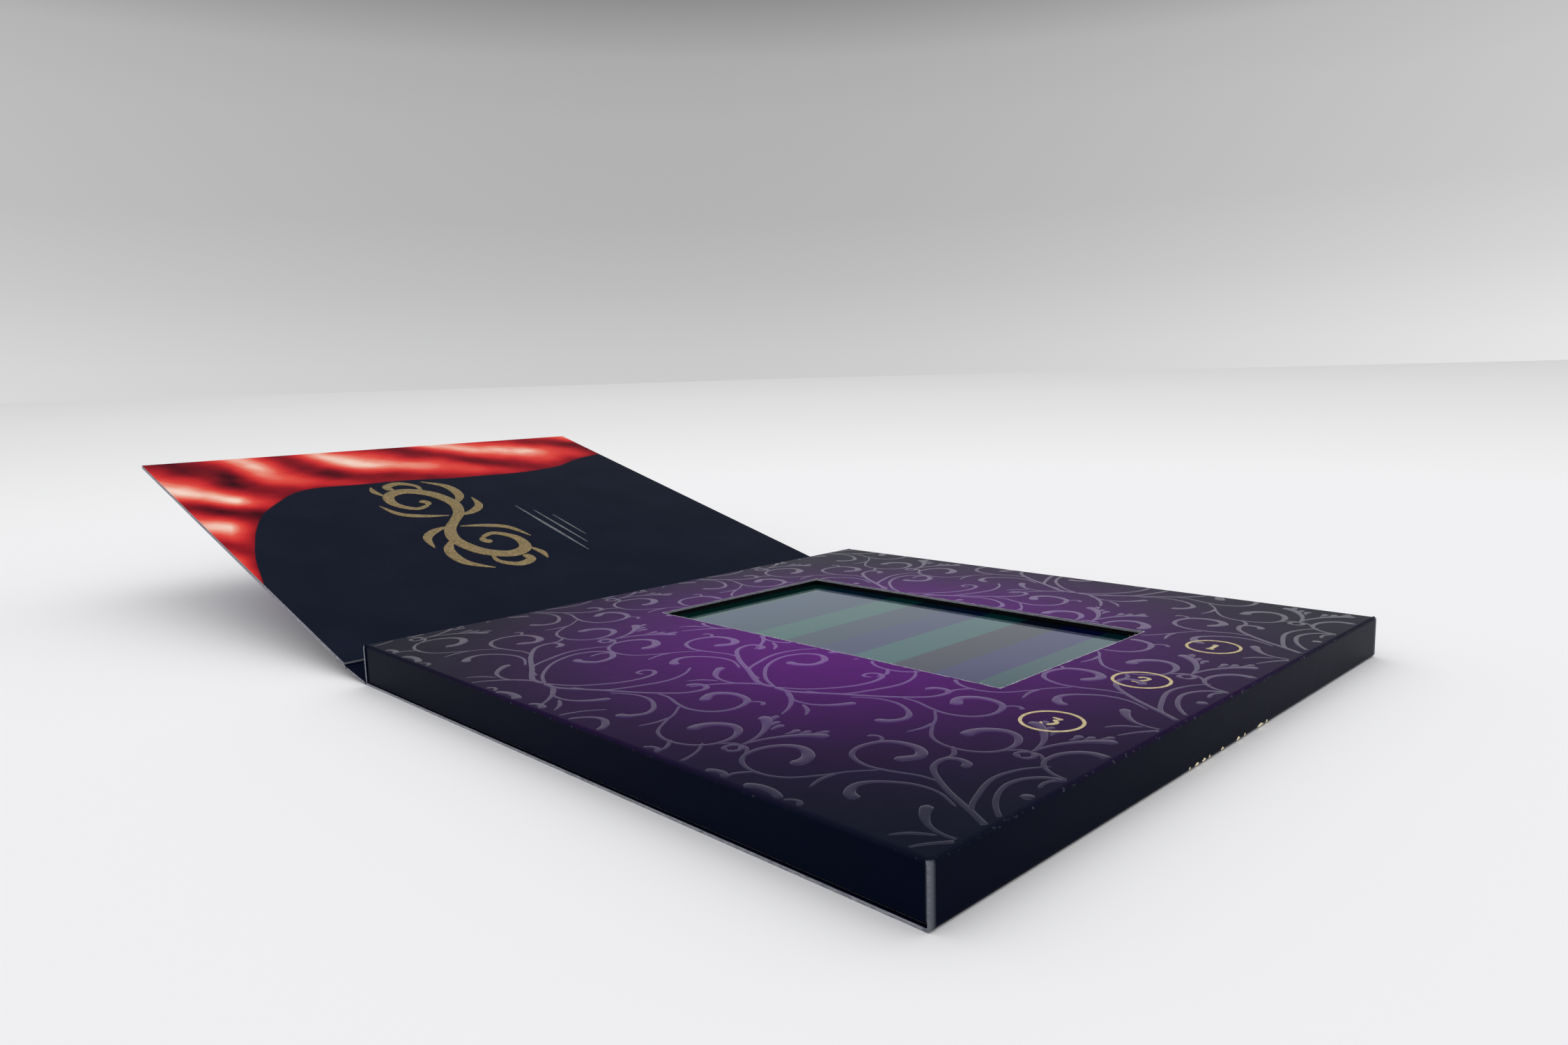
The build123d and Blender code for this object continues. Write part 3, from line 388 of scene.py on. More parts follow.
# The cut card at the free edge is darkened towards grey-blue: painted shade
painted_shade_at_free_edge = maths(tree, "MULTIPLY", over(tree, x, 75.5 * MM), 0.6)
cut_card_and_shade = mixed(tree, painted_shade_at_free_edge, raw_card(tree, at), ink(74, 78, 88))
tree.links.new(mixed(tree, bare, worn, cut_card_and_shade), shader.inputs["Base Color"])
film_relief(tree, shader, at)
print("printed card:", len(tree.nodes), "nodes")

# %% [markdown]
# The spine and the cover carry the same ink on the outside. The cover's own glow sits on its
# middle, so its coordinates are turned back by the cover's slope before they are measured.

# %% Print of the spine and of the cover's outside
def along_cover(tree, at):
    """Cover coordinates: X from the crease to the free edge, Y along the spine, Z inwards."""
    wires = {"Vector": at, "Location": tuple(-crease_2)}
    moved = put(tree, "ShaderNodeMapping", wires).outputs[0]
    wires = {"Vector": moved, "Rotation": (0, -cover_rise, 0)}
    turned = put(tree, "ShaderNodeMapping", wires).outputs[0]
    wires = {0: turned, 1: (-1, 1, 1)}
    return put(tree, "ShaderNodeVectorMath", wires, operation="MULTIPLY").outputs[0]


def from_cover_middle(tree, at):
    """Cover coordinates measured from the cover's middle."""
    wires = {0: along_cover(tree, at), 1: (-cover_length / 2, 0, 0)}
    return put(tree, "ShaderNodeVectorMath", wires).outputs[0]


cut_edge = 0.03 * MM
cover_finish, tree, shader, place = finish("printed_cover", **film)
at = along_cover(tree, place.outputs["Object"])
x, y, z = axes(tree, at)
cover_glow = glow(tree, from_cover_middle(tree, place.outputs["Object"]))
outside = under(tree, z, -0.2 * MM)
printed = mixed(tree, all_of(tree, cover_glow, outside), navy_ink, glow_ink)
bare = any_of(tree, faces_end(tree, place), over(tree, x, cover_length - cut_edge))
colour = mixed(tree, bare, mottled(tree, at, printed), raw_card(tree, at))
tree.links.new(colour, shader.inputs["Base Color"])
film_relief(tree, shader, at)

spine_finish, tree, shader, place = finish("printed_spine", **film)
at = place.outputs["Object"]
streaks = ramp(tree, grain(tree, at, 3 * MM, 3), [(0.3, navy_ink), (0.8, ink(14, 18, 38))])
colour = mixed(tree, faces_end(tree, place), streaks, raw_card(tree, at))
tree.links.new(colour, shader.inputs["Base Color"])
film_relief(tree, shader, at)
print("cover and spine inked")

# %% [markdown]
# ## Inside of the cover
# A second card is glued inside the cover. It is blue-black, with a band of warm artwork along
# the free edge. The artwork here is an abstract one: folds of red silk, made by a wave texture
# with soft noise over it. A smoothly bent coordinate gives the band its edge, so the whole
# picture is a formula.

# %% Artwork and ink of the liner
liner_shade, liner_ink = ink(22, 27, 41), ink(26, 31, 46)
liner_finish, tree, shader, place = finish("liner_card", **film)
at = along_cover(tree, place.outputs["Object"])
along, side, height = axes(tree, at)
swing = maths(tree, "SINE", maths(tree, "MULTIPLY_ADD", side, 34.0, 0.6))
drift = maths(tree, "MULTIPLY", grain(tree, at, 90 * MM, 2), 30 * MM)
bend = maths(tree, "MULTIPLY_ADD", swing, 8 * MM, drift)
corner = clamped(tree, maths(tree, "MULTIPLY", side, -1), 0.0, 78.5 * MM)
reach = maths(tree, "MULTIPLY_ADD", maths(tree, "POWER", corner, 4.0), 82 * MM, bend)
flow = maths(tree, "ADD", along, reach)
art = clamped(tree, flow, 139.5 * MM, 140.2 * MM)
folds = put(
    tree,
    "ShaderNodeTexWave",
    {"Vector": at, "Scale": 15.0, "Distortion": 6.5, "Detail": 2.0, "Detail Scale": 0.7},
    bands_direction="DIAGONAL",
    wave_profile="SIN",
).outputs["Fac"]
sheen = all_of(tree, folds, clamped(tree, flow, 137 * MM, 160 * MM))
sheen = maths(tree, "MULTIPLY", sheen, 0.62)
heat = maths(tree, "MULTIPLY_ADD", grain(tree, at, 22 * MM, 4), 0.55, sheen)
silk = ramp(
    tree,
    heat,
    [
        (0.18, ink(52, 10, 22)),
        (0.36, ink(150, 22, 34)),
        (0.52, ink(206, 44, 46)),
        (0.68, ink(228, 78, 66)),
        (0.84, ink(238, 150, 130)),
        (0.97, ink(250, 222, 205)),
    ],
)
shade = ramp(tree, grain(tree, at, 20 * MM, 3), [(0.3, liner_shade), (0.7, liner_ink)])
printed = mixed(tree, art, shade, silk)
cut_front = over(tree, along, cover_length - cut_edge)
cut_back = under(tree, along, 1.18 * MM)
bare = any_of(tree, faces_end(tree, place), cut_front, cut_back)
tree.links.new(mixed(tree, bare, printed, raw_card(tree, at)), shader.inputs["Base Color"])
film_relief(tree, shader, at)
print("liner artwork:", len(tree.nodes), "nodes")

# %% [markdown]
# ## Screen
# Switched off, the panel is a dark mirror. Its colour stripes stay faintly visible, because
# the front film bends light a little differently over each drive block. A stepped ramp along X
# gives the stripes, and a nearly metallic film under a smooth coat gives the mirror.

# %% Striped film and the glass under it
# Each stripe: where it starts along X in millimetres, and its linear colour
stripes = [
    (-55.0, (0.0, 0.2, 0.17)),
    (-43.65, (0.0, 0.12, 0.27)),
    (-33.65, (0.0, 0.11, 0.24)),
    (-23.45, (0.004, 0.25, 0.24)),
    (-13.65, (0.0, 0.08, 0.18)),
    (-3.85, (0.0, 0.06, 0.25)),
    (6.35, (0.0, 0.22, 0.25)),
    (16.45, (0.005, 0.03, 0.1)),
    (26.45, (0.0, 0.02, 0.24)),
    (36.25, (0.0, 0.15, 0.2)),
]
film_finish, tree, shader, place = finish(
    "screen_polariser",
    Metallic=0.9,
    Roughness=0.07,
    IOR=1.5,
    Coat_Weight=0.45,
    Coat_Roughness=0.05,
)
at = place.outputs["Object"]
x, y, z = axes(tree, at)
screen_half = 55 * MM
across = clamped(tree, x, -screen_half, screen_half)
steps = [((start * MM + screen_half) / (2 * screen_half), (*tint, 1)) for start, tint in stripes]
colour = ramp(tree, across, steps, "CONSTANT")
lines = put(
    tree, "ShaderNodeTexWave", {"Vector": at, "Scale": 900.0}, bands_direction="Y"
).outputs["Fac"]
dimmed = mixed(tree, maths(tree, "MULTIPLY", lines, 0.12), colour, (0.0, 0.0, 0.004, 1))
tree.links.new(dimmed, shader.inputs["Base Color"])
bumped(tree, shader, grain(tree, at, 20 * MM, 1), 0.00001, 0.4)

glass_finish, tree, shader, place = finish(
    "screen_cell", Roughness=0.05, IOR=1.52, Coat_Weight=0.6, Coat_Roughness=0.03
)
at = place.outputs["Object"]
tint = ramp(tree, grain(tree, at, 30 * MM, 2), [(0.3, ink(10, 16, 18)), (0.7, ink(18, 28, 30))])
tree.links.new(tint, shader.inputs["Base Color"])
print("screen has", len(stripes), "stripes")

# %% [markdown]
# ## Foil, varnish and fibres
# Foil is half a metal, with a faint crinkle. The clear varnish takes the colour of the print
# beneath it, so it repeats the glow, lifted a little as painted highlight, and adds gloss.
# The paper fibres are plain and pale.

# %% Foil, varnish and fibre finishes
def foil_finish(name, dull, bright, roughness, metal):
    """Stamped foil: slightly crinkled metal in two close tones."""
    material, tree, shader, place = finish(name, Metallic=metal)
    at = place.outputs["Object"]
    crinkle = grain(tree, at, 0.7 * MM, 4)
    tree.links.new(ramp(tree, crinkle, [(0.35, dull), (0.65, bright)]), shader.inputs["Base Color"])
    rough_between(tree, shader, grain(tree, at, 2 * MM, 2), roughness - 0.06, roughness + 0.08)
    bumped(tree, shader, crinkle, 0.00001, 0.5)
    return material


gold_foil = foil_finish("gold_foil", ink(214, 192, 140), ink(240, 224, 178), 0.38, 0.35)
dull_gold_foil = foil_finish("dull_gold_foil", ink(146, 125, 86), ink(192, 169, 122), 0.42, 0.4)
silver_foil = foil_finish("silver_foil", ink(120, 122, 130), ink(168, 170, 178), 0.36, 0.5)


def varnish_finish(name, to_glow):
    """Clear raised varnish over the print: the glow's own colours, lifted a little as painted highlight."""
    material, tree, shader, place = finish(name, IOR=1.62, Specular_Tint=(0.86, 0.88, 1, 1))
    at = place.outputs["Object"]
    share = glow(tree, to_glow(tree, at))
    # Inks lifted above the print's own: painted highlight of the varnish's gloss
    colour = mixed(tree, share, ink(36, 39, 56), ink(108, 44, 146))
    tree.links.new(colour, shader.inputs["Base Color"])
    rough_between(tree, shader, grain(tree, at, 1 * MM, 3), 0.12, 0.2)
    bumped(tree, shader, grain(tree, at, 0.6 * MM, 2), 0.000004, 0.4)
    return material


case_varnish = varnish_finish("case_varnish", lambda tree, at: at)
cover_varnish = varnish_finish("cover_varnish", from_cover_middle)

fibre_finish, tree, shader, place = finish("paper_fibre", Roughness=0.8)
pale = grain(tree, place.outputs["Object"], 0.5 * MM, 2)
tone = ramp(tree, pale, [(0.3, ink(176, 174, 184)), (0.7, ink(226, 224, 232))])
tree.links.new(tone, shader.inputs["Base Color"])
print("foil, varnish and fibre ready")

# %% [markdown]
# ## Finishes of the parts inside
# Nobody sees these with the case glued shut, but the model can be opened up, so each
# part gets what it is made of: foam with cells, a circuit board with tracks, foil on the
# battery, copper on the coil.

# %% Small helper for the inside finishes
def plain_finish(name, dark, pale, size, low, high, depth=0.00001, stretch=(1, 1, 1), **sockets):
    """Two tones in blotches of one size, with roughness and relief from the same grain."""
    material, tree, shader, place = finish(name, **sockets)
    blotch = grain(tree, place.outputs["Object"], size, 4, stretch)
    tree.links.new(ramp(tree, blotch, [(0.3, dark), (0.7, pale)]), shader.inputs["Base Color"])
    rough_between(tree, shader, blotch, low, high)
    bumped(tree, shader, blotch, depth, 0.6)
    return material


def cellular_finish(name, dark, pale, size, roughness):
    """Foam: closed cells seen as small round dents."""
    material, tree, shader, place = finish(name, Roughness=roughness, Specular_IOR_Level=0.2)
    wires = {"Vector": place.outputs["Object"], "Scale": 1 / size}
    cells = put(tree, "ShaderNodeTexVoronoi", wires).outputs["Distance"]
    tree.links.new(ramp(tree, cells, [(0.1, dark), (0.6, pale)]), shader.inputs["Base Color"])
    bumped(tree, shader, cells, 0.0001, 0.8)
    return material


def track_finish(name, mask, track, pitch, direction, **sockets):
    """Conductors side by side: straight bands of one pitch."""
    material, tree, shader, place = finish(name, **sockets)
    at = place.outputs["Object"]
    wires = {"Vector": at, "Scale": math.tau / (20 * pitch)}
    bands = put(tree, "ShaderNodeTexWave", wires, bands_direction=direction).outputs["Fac"]
    tree.links.new(ramp(tree, bands, [(0.45, mask), (0.55, track)]), shader.inputs["Base Color"])
    rough_between(tree, shader, grain(tree, at, 2 * MM, 3), 0.25, 0.4)
    bumped(tree, shader, bands, 0.00003, 0.5)
    return material


print("plain, cellular and track finishes ready")

# %% Circuit board: green mask over etched tracks, with holes of bare gold
def board_finish():
    material, tree, shader, place = finish("circuit_board", Coat_Weight=0.4, Coat_Roughness=0.2)
    at = place.outputs["Object"]
    wires = {"Vector": at, "Scale": 420.0}
    cells = put(tree, "ShaderNodeTexVoronoi", wires, distance="CHEBYCHEV", feature="F1")
    edge = put(tree, "ShaderNodeTexVoronoi", wires, feature="DISTANCE_TO_EDGE").outputs[0]
    tracks = maths(tree, "LESS_THAN", edge, 0.09)
    pads = maths(tree, "LESS_THAN", cells.outputs["Distance"], 0.12)
    green = mixed(tree, tracks, ink(8, 62, 34), ink(24, 104, 56))
    tree.links.new(mixed(tree, pads, green, ink(206, 174, 98)), shader.inputs["Base Color"])
    rough_between(tree, shader, grain(tree, at, 4 * MM, 3), 0.3, 0.45)
    bumped(tree, shader, maths(tree, "MAXIMUM", tracks, pads), 0.00003, 0.6)
    return material


# %% Chips: black resin in the middle, tinned legs outside it
def chip_finish(name, node, body_share):
    """Resin within body_share of the node's box, and tin beyond it."""
    low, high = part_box(node)
    middle, half = (low + high) / 2, (high - low) / 2
    material, tree, shader, place = finish(name)
    at = place.outputs["Object"]
    away = put(tree, "ShaderNodeVectorMath", {0: at, 1: tuple(middle)}, operation="SUBTRACT")
    x, y, z = axes(tree, away.outputs[0])
    past_x = maths(tree, "GREATER_THAN", maths(tree, "ABSOLUTE", x), half.x * body_share[0])
    past_y = maths(tree, "GREATER_THAN", maths(tree, "ABSOLUTE", y), half.y * body_share[1])
    legs = maths(tree, "MAXIMUM", past_x, past_y)
    resin = ramp(tree, grain(tree, at, 0.3 * MM, 4), [(0.3, ink(16, 16, 18)), (0.7, ink(34, 34, 37))])
    tree.links.new(mixed(tree, legs, resin, ink(190, 192, 196)), shader.inputs["Base Color"])
    tree.links.new(legs, shader.inputs["Metallic"])
    rough_between(tree, shader, grain(tree, at, 0.5 * MM, 3), 0.4, 0.6)
    bumped(tree, shader, grain(tree, at, 0.3 * MM, 4), 0.00001, 0.5)
    return material


# %% Capacitors: tan bodies with tinned ends
def capacitor_finish():
    material, tree, shader, place = finish("capacitor_ceramic")
    at = place.outputs["Object"]
    x, y, z = axes(tree, at)
    low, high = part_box("board_capacitors")
    pitch = 3.0 * MM
    cell = maths(tree, "PINGPONG", maths(tree, "SUBTRACT", x, low.x + 1.0 * MM), pitch / 2)
    ends = maths(tree, "GREATER_THAN", cell, 0.68 * MM)
    tones = [(0.3, ink(150, 118, 82)), (0.7, ink(182, 150, 108))]
    tan = ramp(tree, grain(tree, at, 0.4 * MM, 3), tones)
    tree.links.new(mixed(tree, ends, tan, ink(196, 198, 200)), shader.inputs["Base Color"])
    tree.links.new(ends, shader.inputs["Metallic"])
    rough_between(tree, shader, grain(tree, at, 0.8 * MM, 2), 0.3, 0.5)
    return material


# %% Give every solid its finish
inside_finishes = {
    "grey_board": plain_finish(
        "grey_board", ink(118, 116, 112), ink(160, 158, 152), 0.0006, 0.8, 0.95, 0.00005
    ),
    "cradle_foam": cellular_finish(
        "cradle_foam", ink(196, 198, 202), ink(232, 233, 236), 0.0009, 0.85
    ),
    "gasket_foam": cellular_finish("gasket_foam", ink(4, 4, 6), ink(16, 16, 20), 0.0005, 0.9),
    "frame_steel": plain_finish(
        "frame_steel", ink(128, 130, 133), ink(186, 188, 191), 0.0004, 0.25, 0.45,
        0.00001, (0.05, 1, 1), Metallic=1.0
    ),
    "white_plastic": plain_finish(
        "white_plastic", ink(206, 207, 208), ink(232, 233, 234), 0.002, 0.4, 0.55
    ),
    "flat_ribbon": track_finish("flat_ribbon", ink(150, 84, 20), ink(196, 130, 48), 0.0005, "X"),
    "white_ribbon": track_finish(
        "white_ribbon", ink(222, 223, 226), ink(178, 180, 186), 0.001, "X"
    ),
    "circuit_board": board_finish(),
    "socket_plastic": plain_finish(
        "socket_plastic", ink(206, 196, 168), ink(228, 220, 196), 0.001, 0.45, 0.6
    ),
    "can_metal": plain_finish(
        "can_metal", ink(170, 172, 176), ink(206, 208, 212), 0.0006, 0.16, 0.3,
        0.000005, (1, 0.1, 1), Metallic=1.0
    ),
    "capacitor_ceramic": capacitor_finish(),
    "reed_glass": plain_finish(
        "reed_glass", ink(92, 116, 104), ink(132, 156, 142), 0.003, 0.06, 0.15, Coat_Weight=0.8
    ),
    "pouch_foil": plain_finish(
        "pouch_foil", ink(150, 152, 156), ink(204, 206, 210), 0.0035, 0.28, 0.42, 0.00012,
        Metallic=0.9,
    ),
    "red_wire": plain_finish("red_wire", ink(150, 16, 18), ink(196, 30, 28), 0.0008, 0.35, 0.5),
    "black_wire": plain_finish("black_wire", ink(14, 14, 15), ink(32, 32, 34), 0.0008, 0.35, 0.5),
    "magnet_plating": plain_finish(
        "magnet_plating", ink(176, 178, 180), ink(208, 210, 212), 0.0009, 0.14, 0.26, Metallic=1.0
    ),
    "coil_copper": track_finish(
        "coil_copper", ink(112, 52, 22), ink(206, 118, 66), 0.0002, "Z", Metallic=0.9
    ),
    "cone_film": plain_finish("cone_film", ink(20, 20, 22), ink(44, 44, 48), 0.0006, 0.35, 0.5),
    "button_plastic": plain_finish(
        "button_plastic", ink(26, 26, 28), ink(46, 46, 48), 0.0007, 0.5, 0.65
    ),
    "chip_black": plain_finish("chip_black", ink(16, 16, 18), ink(34, 34, 37), 0.0003, 0.45, 0.62),
    "printed_card": card_finish,
    "liner_card": liner_finish,
    "screen_polariser": film_finish,
    "screen_cell": glass_finish,
}
own_finishes = {
    "cover_panel": cover_finish,
    "spine_panel": spine_finish,
    "video_chip": chip_finish("video_chip_resin", "video_chip", (0.8, 0.8)),
    "memory_chip": chip_finish("memory_chip_resin", "memory_chip", (0.8, 2.0)),
}
for name, solid in nodes.items():
    for slot in solid.material_slots:
        slot.material = own_finishes.get(name) or inside_finishes[slot.material.name]
print(len(inside_finishes) + len(own_finishes), "finishes on", len(nodes), "solids")

# %% [markdown]
# ## Scroll varnish
# The top face carries an old scroll ornament in thick clear varnish: arching stems that end in
# round buds, with a little fan where two stems meet. It repeats in two staggered rows and each
# unit is its own mirror image. So only one half of one unit is drawn, as strokes with a width
# at each point. A Geometry Nodes tree repeats it over the face, mirrors it, cuts it off at the
# folds and the window, and sweeps a low rounded profile along what is left.

# %% Strokes of half a unit
# Each stroke: which half it belongs to (0 both, 1 right, -1 left), its width in millimetres at
# the start, middle and end, and its points in millimetres from the crossing of the stems.
strokes = [
    (-1, (0.5, 0.75, 1.3), [(0, 0), (5.3, 2.8), (10.8, 8.3), (13.3, 13.9), (13, 17.8), (10.8, 20.5),
                            (8, 20.8), (5.3, 18.6), (5, 15), (8, 13), (10, 13.6)]),
    (1, (0.5, 0.75, 0.5), [(0, 0), (5.3, 2.8), (9.6, 8.3), (11.2, 13), (10.8, 16.8), (8.8, 18.4),
                           (7, 17.2), (7.6, 15.4), (9.2, 15.8)]),
    (0, (0.5, 0.7, 0.35), [(6, 1.8), (11.7, 4.4), (14.7, 10.5), (16.1, 16.1), (15, 21),
                           (12.5, 24.5)]),
    (0, (0.9, 0.7, 1.0), [(0, 0), (4.2, 0), (11.4, 4.2), (18.6, 8.3), (24.2, 12.8), (25.6, 16.7),
                          (24.2, 18.3), (22, 17.8), (21.4, 16.1)]),
    (0, (0.35, 0.7, 1.3), [(14.2, 4.4), (18.6, 6.7), (23, 6.7), (27, 4.4), (28.6, 1.7), (27.5, -1.1),
                           (25.3, -2.2)]),
    (0, (0.4, 0.75, 1.4), [(20.3, 9.7), (24.2, 9.7), (28.6, 8.3), (32.5, 7.8), (36.4, 9.4), (38, 12.8),
                           (37, 16.7), (34.2, 18.3), (30.8, 18), (28.9, 15.6), (30.8, 12.2)]),
    (0, (0.5, 0.5, 0.8), [(37, 16.7), (38, 18), (39.4, 18.3), (40.3, 17.2)]),
    (0, (0.35, 0.62, 1.6), [(29.7, 7.8), (32.5, 4.4), (34.3, 1.2), (37.5, -2.9), (41.6, -4.4),
                            (45.7, -3.6), (48.4, -0.9), (48.6, 3), (46.7, 6), (44, 6.8), (41.4, 5.4),
                            (40.3, 3.2), (40.7, 1)]),
    (0, (0.5, 0.6, 0.3), [(33.3, 2.8), (33.6, 0), (32.8, -3.3)]),
    (0, (0.5, 0.6, 0.5), [(42, -3.9), (44.2, -6.7), (43.9, -9.4)]),
    (0, (0.8, 0.7, 0.35), [(0, 0), (3.6, -0.6), (7.5, -3.3), (10.3, -6.7), (11.9, -10)]),
    (0, (0.4, 0.6, 0.3), [(10.8, -3.9), (13.6, -5.6), (15.3, -7.8)]),
    (0, (0.4, 0.6, 1.2), [(4.7, -1.7), (8.6, -3.3), (12.5, -2.8), (15.3, -0.6), (17.2, 2.5)]),
]
# The fan stands half a pitch away from the crossing, and is drawn from its own middle.
fan_strokes = [
    (0, (0.75, 0.7, 0.75), [(0, 1.35), (0.95, 0.95), (1.35, 0), (0.95, -0.95), (0, -1.35)]),
    (0, (0.5, 0.5, 0.4), [(0, 1.7), (1.3, 1.5), (2.4, 0.7), (3.1, -0.4)]),
    (0, (0.4, 0.7, 1.5), [(0, 1.4), (0.15, 3.4), (1, 6.4), (2.7, 9.4), (4.8, 11.7), (7.4, 13.3)]),
    (0, (0.3, 0.8, 1.1), [(1.5, 9.4), (1.9, 11), (1.6, 12.5)]),
    (0, (0.3, 0.8, 1.1), [(2.9, 11.1), (3.4, 12.2), (3.5, 13.3)]),
    (0, (0.3, 0.8, 1.1), [(4.6, 13), (5.4, 14), (5.9, 15.1)]),
]


def stroke_mesh(name, groups, boldness=1.0, bud=1.0):
    """Strokes as bare edges: each point keeps its half width and the half it belongs to.
    An end of a millimetre or more is a bud, and swells by its own factor."""
    mesh = bpy.data.meshes.new(name)
    points, edges, widths, halves = [], [], [], []
    for (shift_x, shift_y), group in groups:
        for half, (start, middle, end), path in group:
            first = len(points)
            end = end * bud if end >= 1.0 else end
            for step, (px, py) in enumerate(path):
                share = step / (len(path) - 1)
                near = (start, middle) if share < 0.5 else (middle, end)
                local = share * 2 if share < 0.5 else share * 2 - 1
                points.append(((px + shift_x) * MM, (py + shift_y) * MM, 0))
                widths.append((near[0] + (near[1] - near[0]) * local) / 2 * boldness * MM)
                halves.append(half)
            edges += [(step, step + 1) for step in range(first, len(points) - 1)]
    mesh.from_pydata(points, edges, [])
    for label, values in (("half_width", widths), ("half", halves)):
        mesh.attributes.new(label, "FLOAT", "POINT").data.foreach_set("value", values)
    return mesh


print(len(strokes) + len(fan_strokes), "strokes in half a unit")

# %% [markdown]
# The sweep itself is shared by varnish and foil, so it is a function that adds its nodes to a
# tree. Strokes become smooth curves through their points, and the profile is a low arch whose
# foot is sunk a hair into the card, so that nothing floats.

# %% Nodes that sweep strokes into low ribbons
def node_tree(name, inputs):
    """An empty Geometry Nodes tree with named inputs."""
    tree = bpy.data.node_groups.new(name, "GeometryNodeTree")
    tree.interface.new_socket("Geometry", in_out="INPUT", socket_type="NodeSocketGeometry")
    tree.interface.new_socket("Geometry", in_out="OUTPUT", socket_type="NodeSocketGeometry")
    for label, kind in inputs:
        tree.interface.new_socket(label, in_out="INPUT", socket_type=kind)
    given = put(tree, "NodeGroupInput").outputs
    result = put(tree, "NodeGroupOutput").inputs[0]
    return tree, given, result


def attribute(tree, name):
    """A number that each point carries."""
    wires = {"Name": name}
    return put(tree, "GeometryNodeInputNamedAttribute", wires, data_type="FLOAT").outputs[0]


def smooth_curves(tree, lines, step):
    """Bare edges to smooth curves with a point every step metres."""
    curve = put(tree, "GeometryNodeMeshToCurve", {"Mesh": lines}).outputs[0]
    curve = put(tree, "GeometryNodeCurveSplineType", {"Curve": curve}, spline_type="CATMULL_ROM")
    wires = {"Curve": curve.outputs[0], "Length": step}
    return put(tree, "GeometryNodeResampleCurve", wires, mode="LENGTH").outputs[0]


def swept(tree, curve, profile):
    """The profile object's outline along a level curve, as wide as half_width says. The width
    shrinks over the last half width of each end, which rounds it."""
    width = attribute(tree, "half_width")
    run = put(tree, "GeometryNodeSplineParameter").outputs["Length"]
    total = put(tree, "GeometryNodeSplineLength").outputs["Length"]
    to_end = maths(tree, "MINIMUM", run, maths(tree, "SUBTRACT", total, run))
    blunt = 0.03
    share = maths(tree, "ADD", maths(tree, "DIVIDE", to_end, width), blunt)
    share = maths(tree, "MINIMUM", share, 1.0)
    rest = maths(tree, "SUBTRACT", 2.0, share)
    rounded = maths(tree, "SQRT", maths(tree, "MULTIPLY", share, rest))
    width = maths(tree, "MULTIPLY", width, rounded)
    level = put(tree, "GeometryNodeSetCurveNormal", {"Curve": curve}, mode="Z_UP").outputs[0]
    outline = put(tree, "GeometryNodeObjectInfo", {"Object": profile}).outputs["Geometry"]
    outline = put(tree, "GeometryNodeMeshToCurve", {"Mesh": outline}).outputs[0]
    wires = {"Curve": level, "Profile Curve": outline, "Scale": width, "Fill Caps": True}
    return put(tree, "GeometryNodeCurveToMesh", wires).outputs[0]


def close_tree(tree, geometry, material, result):
    """Every tree ends with real geometry and its material."""
    real = put(tree, "GeometryNodeRealizeInstances", {0: geometry}).outputs[0]
    done = put(tree, "GeometryNodeSetMaterial", {"Geometry": real, "Material": material})
    tree.links.new(done.outputs[0], result)


def profile_object(name, outline):
    """A closed outline, across and up, kept out of the render. The sweep turns it over, so
    it is drawn upside down."""
    mesh = bpy.data.meshes.new(name)
    points = [(across, -up, 0) for across, up in outline]
    edges = [(corner, (corner + 1) % len(outline)) for corner in range(len(outline))]
    mesh.from_pydata(points, edges, [])
    return bpy.data.objects.new(name, mesh)


arch = [
    (-1.0, -0.05), (-0.96, 0.008), (-0.8, 0.026), (-0.42, 0.044),
    (0.42, 0.044), (0.8, 0.026), (0.96, 0.008), (1.0, -0.05),
]
arch_profile = profile_object("arch_profile", arch)


def in_scene(name, mesh):
    """A new object in the scene, with its place in its mesh."""
    piece = bpy.data.objects.new(name, mesh)
    bpy.context.scene.collection.objects.link(piece)
    return piece


def grown(name, mesh, tree, values, material):
    """Runs a tree on a mesh and keeps the result as a plain piece."""
    host = in_scene(name + "_host", mesh)
    modifier = host.modifiers.new("grow", "NODES")
    modifier.node_group = tree
    sockets = {s.name: s.identifier for s in tree.interface.items_tree if s.in_out == "INPUT"}
    for label, value in {**values, "Material": material}.items():
        modifier[sockets[label]] = value
    host.update_tag()
    depsgraph = bpy.context.evaluated_depsgraph_get()
    result = bpy.data.meshes.new_from_object(host.evaluated_get(depsgraph))
    result.name = name
    host.modifiers.remove(modifier)
    bpy.data.objects.remove(host)
    for label in [a.name for a in result.attributes if a.name in ("half_width", "half")]:
        result.attributes.remove(result.attributes[label])
    result.calc_loop_triangles()
    print(name, len(result.loop_triangles), "triangles")
    return in_scene(name, result)


print("sweep ready, profile of", len(arch), "points")

# %% [markdown]
# The tree for the varnish places four copies of the half unit: two rows, each with its right
# and left half. After that it works on bare edges, because points can be deleted from those
# without joining their neighbours, and turns them back into curves for the sweep.

